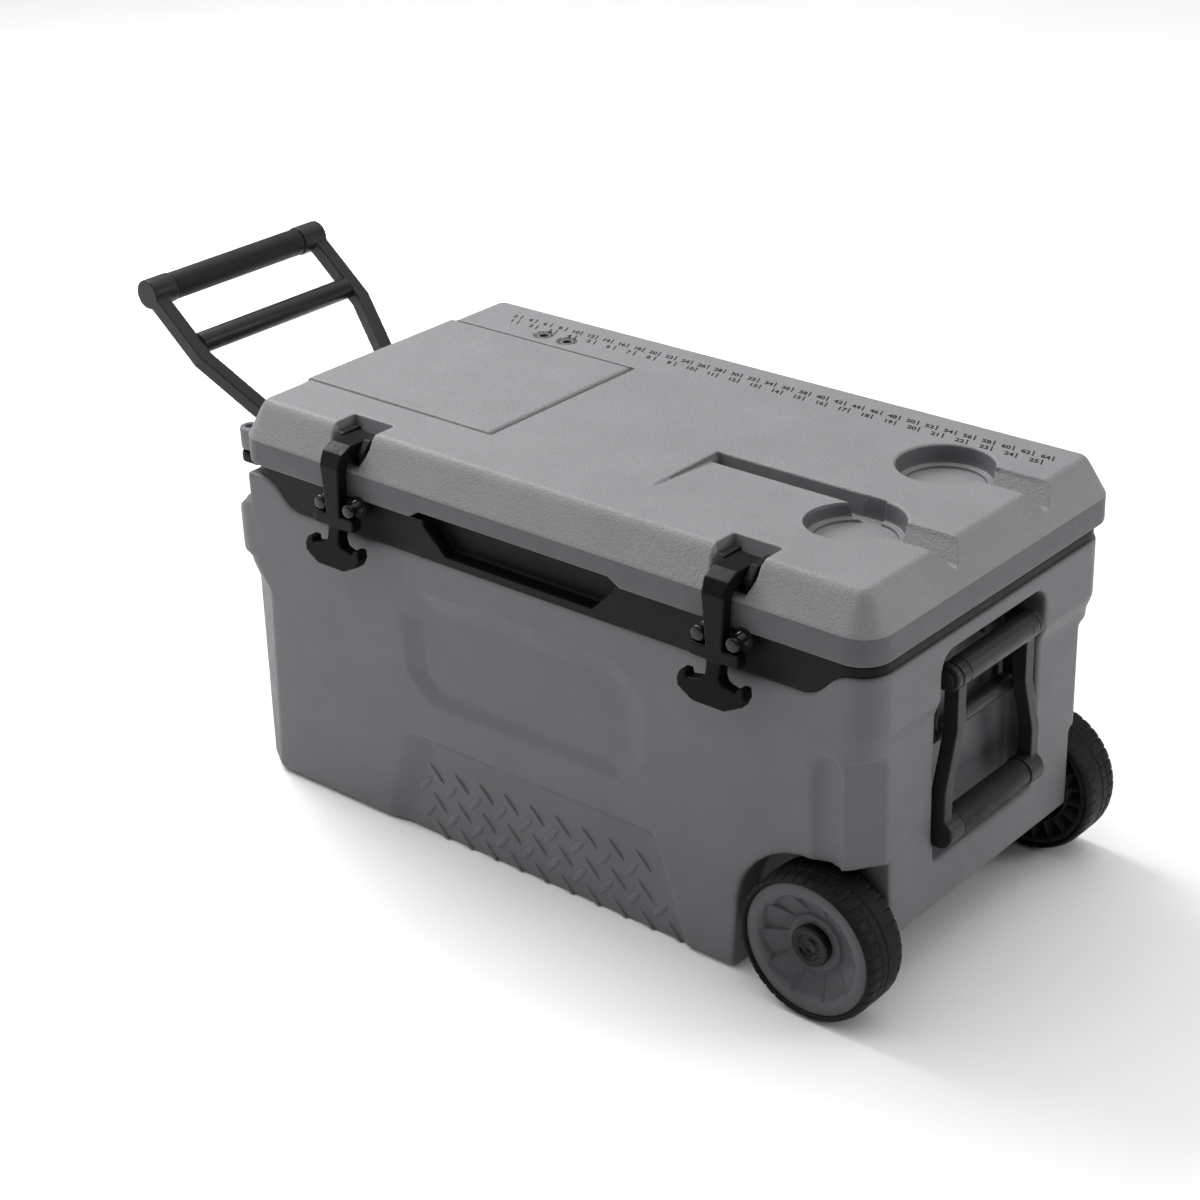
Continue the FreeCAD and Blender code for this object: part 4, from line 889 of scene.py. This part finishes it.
def hub_face(side):
    """Hub from outside: flat ring, dish of stepped sectors, collar round the axle."""
    sectors = 10
    steps = sectors * 40
    face = WHEEL_OUT - 2.6
    angle = np.linspace(0, 2 * math.pi, steps, endpoint=False)
    phase = (angle / (2 * math.pi) * sectors) % 1.0
    ridge = np.clip((np.abs(phase - 0.5) - 0.45) / 0.04, 0, 1)
    depth = (1 - ridge) * (2.4 + 4.6 * phase)
    radii = [62.2, 61.8, 61.0, 51.4, 50.8] + list(np.linspace(50.2, 45.0, 8))
    radii += list(np.linspace(44.0, 29.0, 12)) + [28.2, 27.0, 26.2, 25.8, 25.4, 24.0, 18.0]
    points = []
    for r in radii:
        if r > 50.5:
            height = np.full(steps, face - 0.8 * max(r - 61.2, 0) - 0.5 * max(51.4 - r, 0))
        elif r > 28.5:
            t = (50.5 - r) / 22.0
            edge = 50.4 - 4.0 * phase * (1 - ridge)
            pocket = np.clip((edge - r) / 0.8, 0, 1)
            height = face - 0.6 - 15.5 * t - depth * pocket * (1 - 0.85 * t)
        else:
            height = np.full(steps, face - 16.1 + 3.0 * np.clip((27.5 - r) / 1.5, 0, 1))
        points.append(np.stack([WHEEL_X + r * np.cos(angle), side * height,
                                WHEEL_R + r * np.sin(angle)], -1))
    return np.array(points)


def hub_back(side):
    """Hub from inside: rim, two rings of open cells between thin ribs, boss."""
    ribs = 20
    steps = ribs * 24
    rear = WHEEL_IN + 2.0
    angle = np.linspace(0, 2 * math.pi, steps, endpoint=False)
    outer_rib = np.abs((angle / (2 * math.pi) * ribs) % 1.0 - 0.5) < 0.06
    inner_rib = np.abs((angle / (2 * math.pi) * ribs / 2) % 1.0 - 0.5) < 0.035
    radii = [19.0, 19.2, 19.6] + list(np.linspace(22.0, 40.0, 5)) + [40.6, 41.0, 42.4, 42.8]
    radii += list(np.linspace(46.0, 56.0, 4)) + [57.4, 57.8, 61.5, 62.2]
    points = []
    for r in radii:
        if r < 19.4:
            height = np.full(steps, rear)
        elif r < 40.8:
            height = np.where(inner_rib, rear + 6.0, rear + 20.0)
        elif r < 42.6:
            height = np.full(steps, rear + 3.0)
        elif r < 57.6:
            height = np.where(outer_rib, rear + 3.0, rear + 22.0)
        else:
            height = np.full(steps, rear + 1.0)
        points.append(np.stack([WHEEL_X + r * np.cos(angle), side * height,
                                WHEEL_R + r * np.sin(angle)], -1))
    return np.array(points)


def ring_mesh(name, rings, side):
    quads = grid_quads(rings.shape[0], rings.shape[1], wrap=True)
    if side < 0:
        quads = quads[:, ::-1]
    return new_mesh(name, rings.reshape(-1, 3), quads)


def make_wheels():
    for label, side in (("front", -1), ("back", 1)):
        body = f"wheel_{label}"
        tyre = ring_mesh(f"tyre_{label}_tread", tyre_points(side), side)
        link(tyre, body, materials["tyre"], [f"tyre_{label}"])
        face = ring_mesh(f"hub_{label}_face", hub_face(side), side)
        link(face, body, materials["hub_grey"], [f"hub_{label}"])
        back = ring_mesh(f"hub_{label}_back", hub_back(side), side)
        link(back, body, materials["hub_back"])
        centre = (WHEEL_X, 0, WHEEL_R)
        cap = [(0, 188.7), (5.0, 188.7), (5.6, 189.6), (6.6, 189.6), (7.2, 188.5), (10.8, 188.4),
               (11.4, 190.0), (12.2, 190.8)]
        cap += arc(16.8, 188.8, 2.2, 90, 0, 6) + [(19.0, 185.0), (18.2, 184.6), (18.2, 181.5)]
        cap_piece = lathe(f"axle_cap_{label}_turned", cap[::-1], centre, side=side, steps=72)
        link(cap_piece, "tub", materials["cap_black"], [f"axle_cap_{label}"])


# --- stage ----------------------------------------------------------------------------
def make_camera():
    """Camera that sees the front, the top and the wheel end, slightly rolled."""
    azimuth, elevation, roll = (math.radians(a) for a in (41.296, 26.282, -2.0995))
    back = Vector((math.sin(azimuth) * math.cos(elevation),
                   -math.cos(azimuth) * math.cos(elevation), math.sin(elevation)))
    right = (-back).cross(Vector((0, 0, 1))).normalized()
    up = back.cross(right)
    turned_right = math.cos(roll) * right + math.sin(roll) * up
    turned_up = -math.sin(roll) * right + math.cos(roll) * up
    data = bpy.data.cameras.new("camera")
    data.lens = 74.88
    data.sensor_width = 36.0
    camera = bpy.data.objects.new("camera", data)
    rotation = Matrix((turned_right, turned_up, back)).transposed().to_4x4()
    camera.matrix_world = Matrix.Translation((1.339, -1.614, 1.266)) @ rotation
    bpy.context.scene.collection.objects.link(camera)
    bpy.context.scene.camera = camera


def area_light(name, at, target, size, power):
    data = bpy.data.lights.new(name, "AREA")
    data.shape = "RECTANGLE"
    data.size, data.size_y = size
    data.energy = power
    light = bpy.data.objects.new(name, data)
    light.location = at
    light.rotation_euler = (Vector(target) - Vector(at)).to_track_quat("-Z", "Y").to_euler()
    bpy.context.scene.collection.objects.link(light)


def map_range(tree, value, source, target):
    """Carry a value from one range over to another, held at both ends."""
    node = tree.nodes.new("ShaderNodeMapRange")
    for key, number in zip(("From Min", "From Max", "To Min", "To Max"), source + target):
        node.inputs[key].default_value = number
    tree.links.new(value, node.inputs["Value"])
    return node.outputs["Result"]


def make_sky():
    """Soft box of light: bright overhead, dim towards the horizon and the near corner."""
    world = bpy.data.worlds.new("studio")
    world.use_nodes = True
    tree = world.node_tree
    backdrop = tree.nodes["Background"]
    backdrop.inputs["Color"].default_value = (1, 1, 1, 1)
    coords = tree.nodes.new("ShaderNodeTexCoord")
    split = tree.nodes.new("ShaderNodeSeparateXYZ")
    tree.links.new(coords.outputs["Generated"], split.inputs[0])
    height = map_range(tree, split.outputs["Z"], (0.3, 0.95), (SKY_LOW, SKY_HIGH))
    toward = tree.nodes.new("ShaderNodeVectorMath")
    toward.operation = "DOT_PRODUCT"
    toward.inputs[1].default_value = DIM_SIDE
    tree.links.new(coords.outputs["Generated"], toward.inputs[0])
    shade = map_range(tree, toward.outputs["Value"], (0.1, 0.8), (1.0, DIM_LEVEL))
    product = tree.nodes.new("ShaderNodeMath")
    product.operation = "MULTIPLY"
    tree.links.new(height, product.inputs[0])
    tree.links.new(shade, product.inputs[1])
    tree.links.new(product.outputs[0], backdrop.inputs["Strength"])
    bpy.context.scene.world = world


def make_stage():
    corners = np.array([(-1, -1, 0), (1, -1, 0), (1, 1, 0), (-1, 1, 0)]) * FLOOR_HALF / MM
    floor = new_mesh("studio_floor", corners, [(0, 1, 2, 3)], smooth=False)
    floor.location.z = -0.0005
    floor.data.materials.append(floor_paint("studio_paint"))
    make_sky()
    area_light("top_left", (-2.2, 0.2, 2.6), (0, 0, 0.35), (1.6, 1.6), 85)
    area_light("front_left", (-2.6, -2.0, 1.2), (-0.1, -0.1, 0.2), (2.0, 1.6), 14)
    area_light("wheel_end", (2.7, 1.6, 1.3), (0.35, 0, 0.3), (1.2, 1.0), 24)
    bpy.context.scene.view_settings.view_transform = "Standard"


paint_cad_nodes()
make_lid()
make_padlock_eye()
make_pocket_roof()
make_hatch()
make_vents()
make_ruler()
make_tub()
make_tread()
make_latches()
make_handles()
make_wheels()
make_camera()
make_stage()
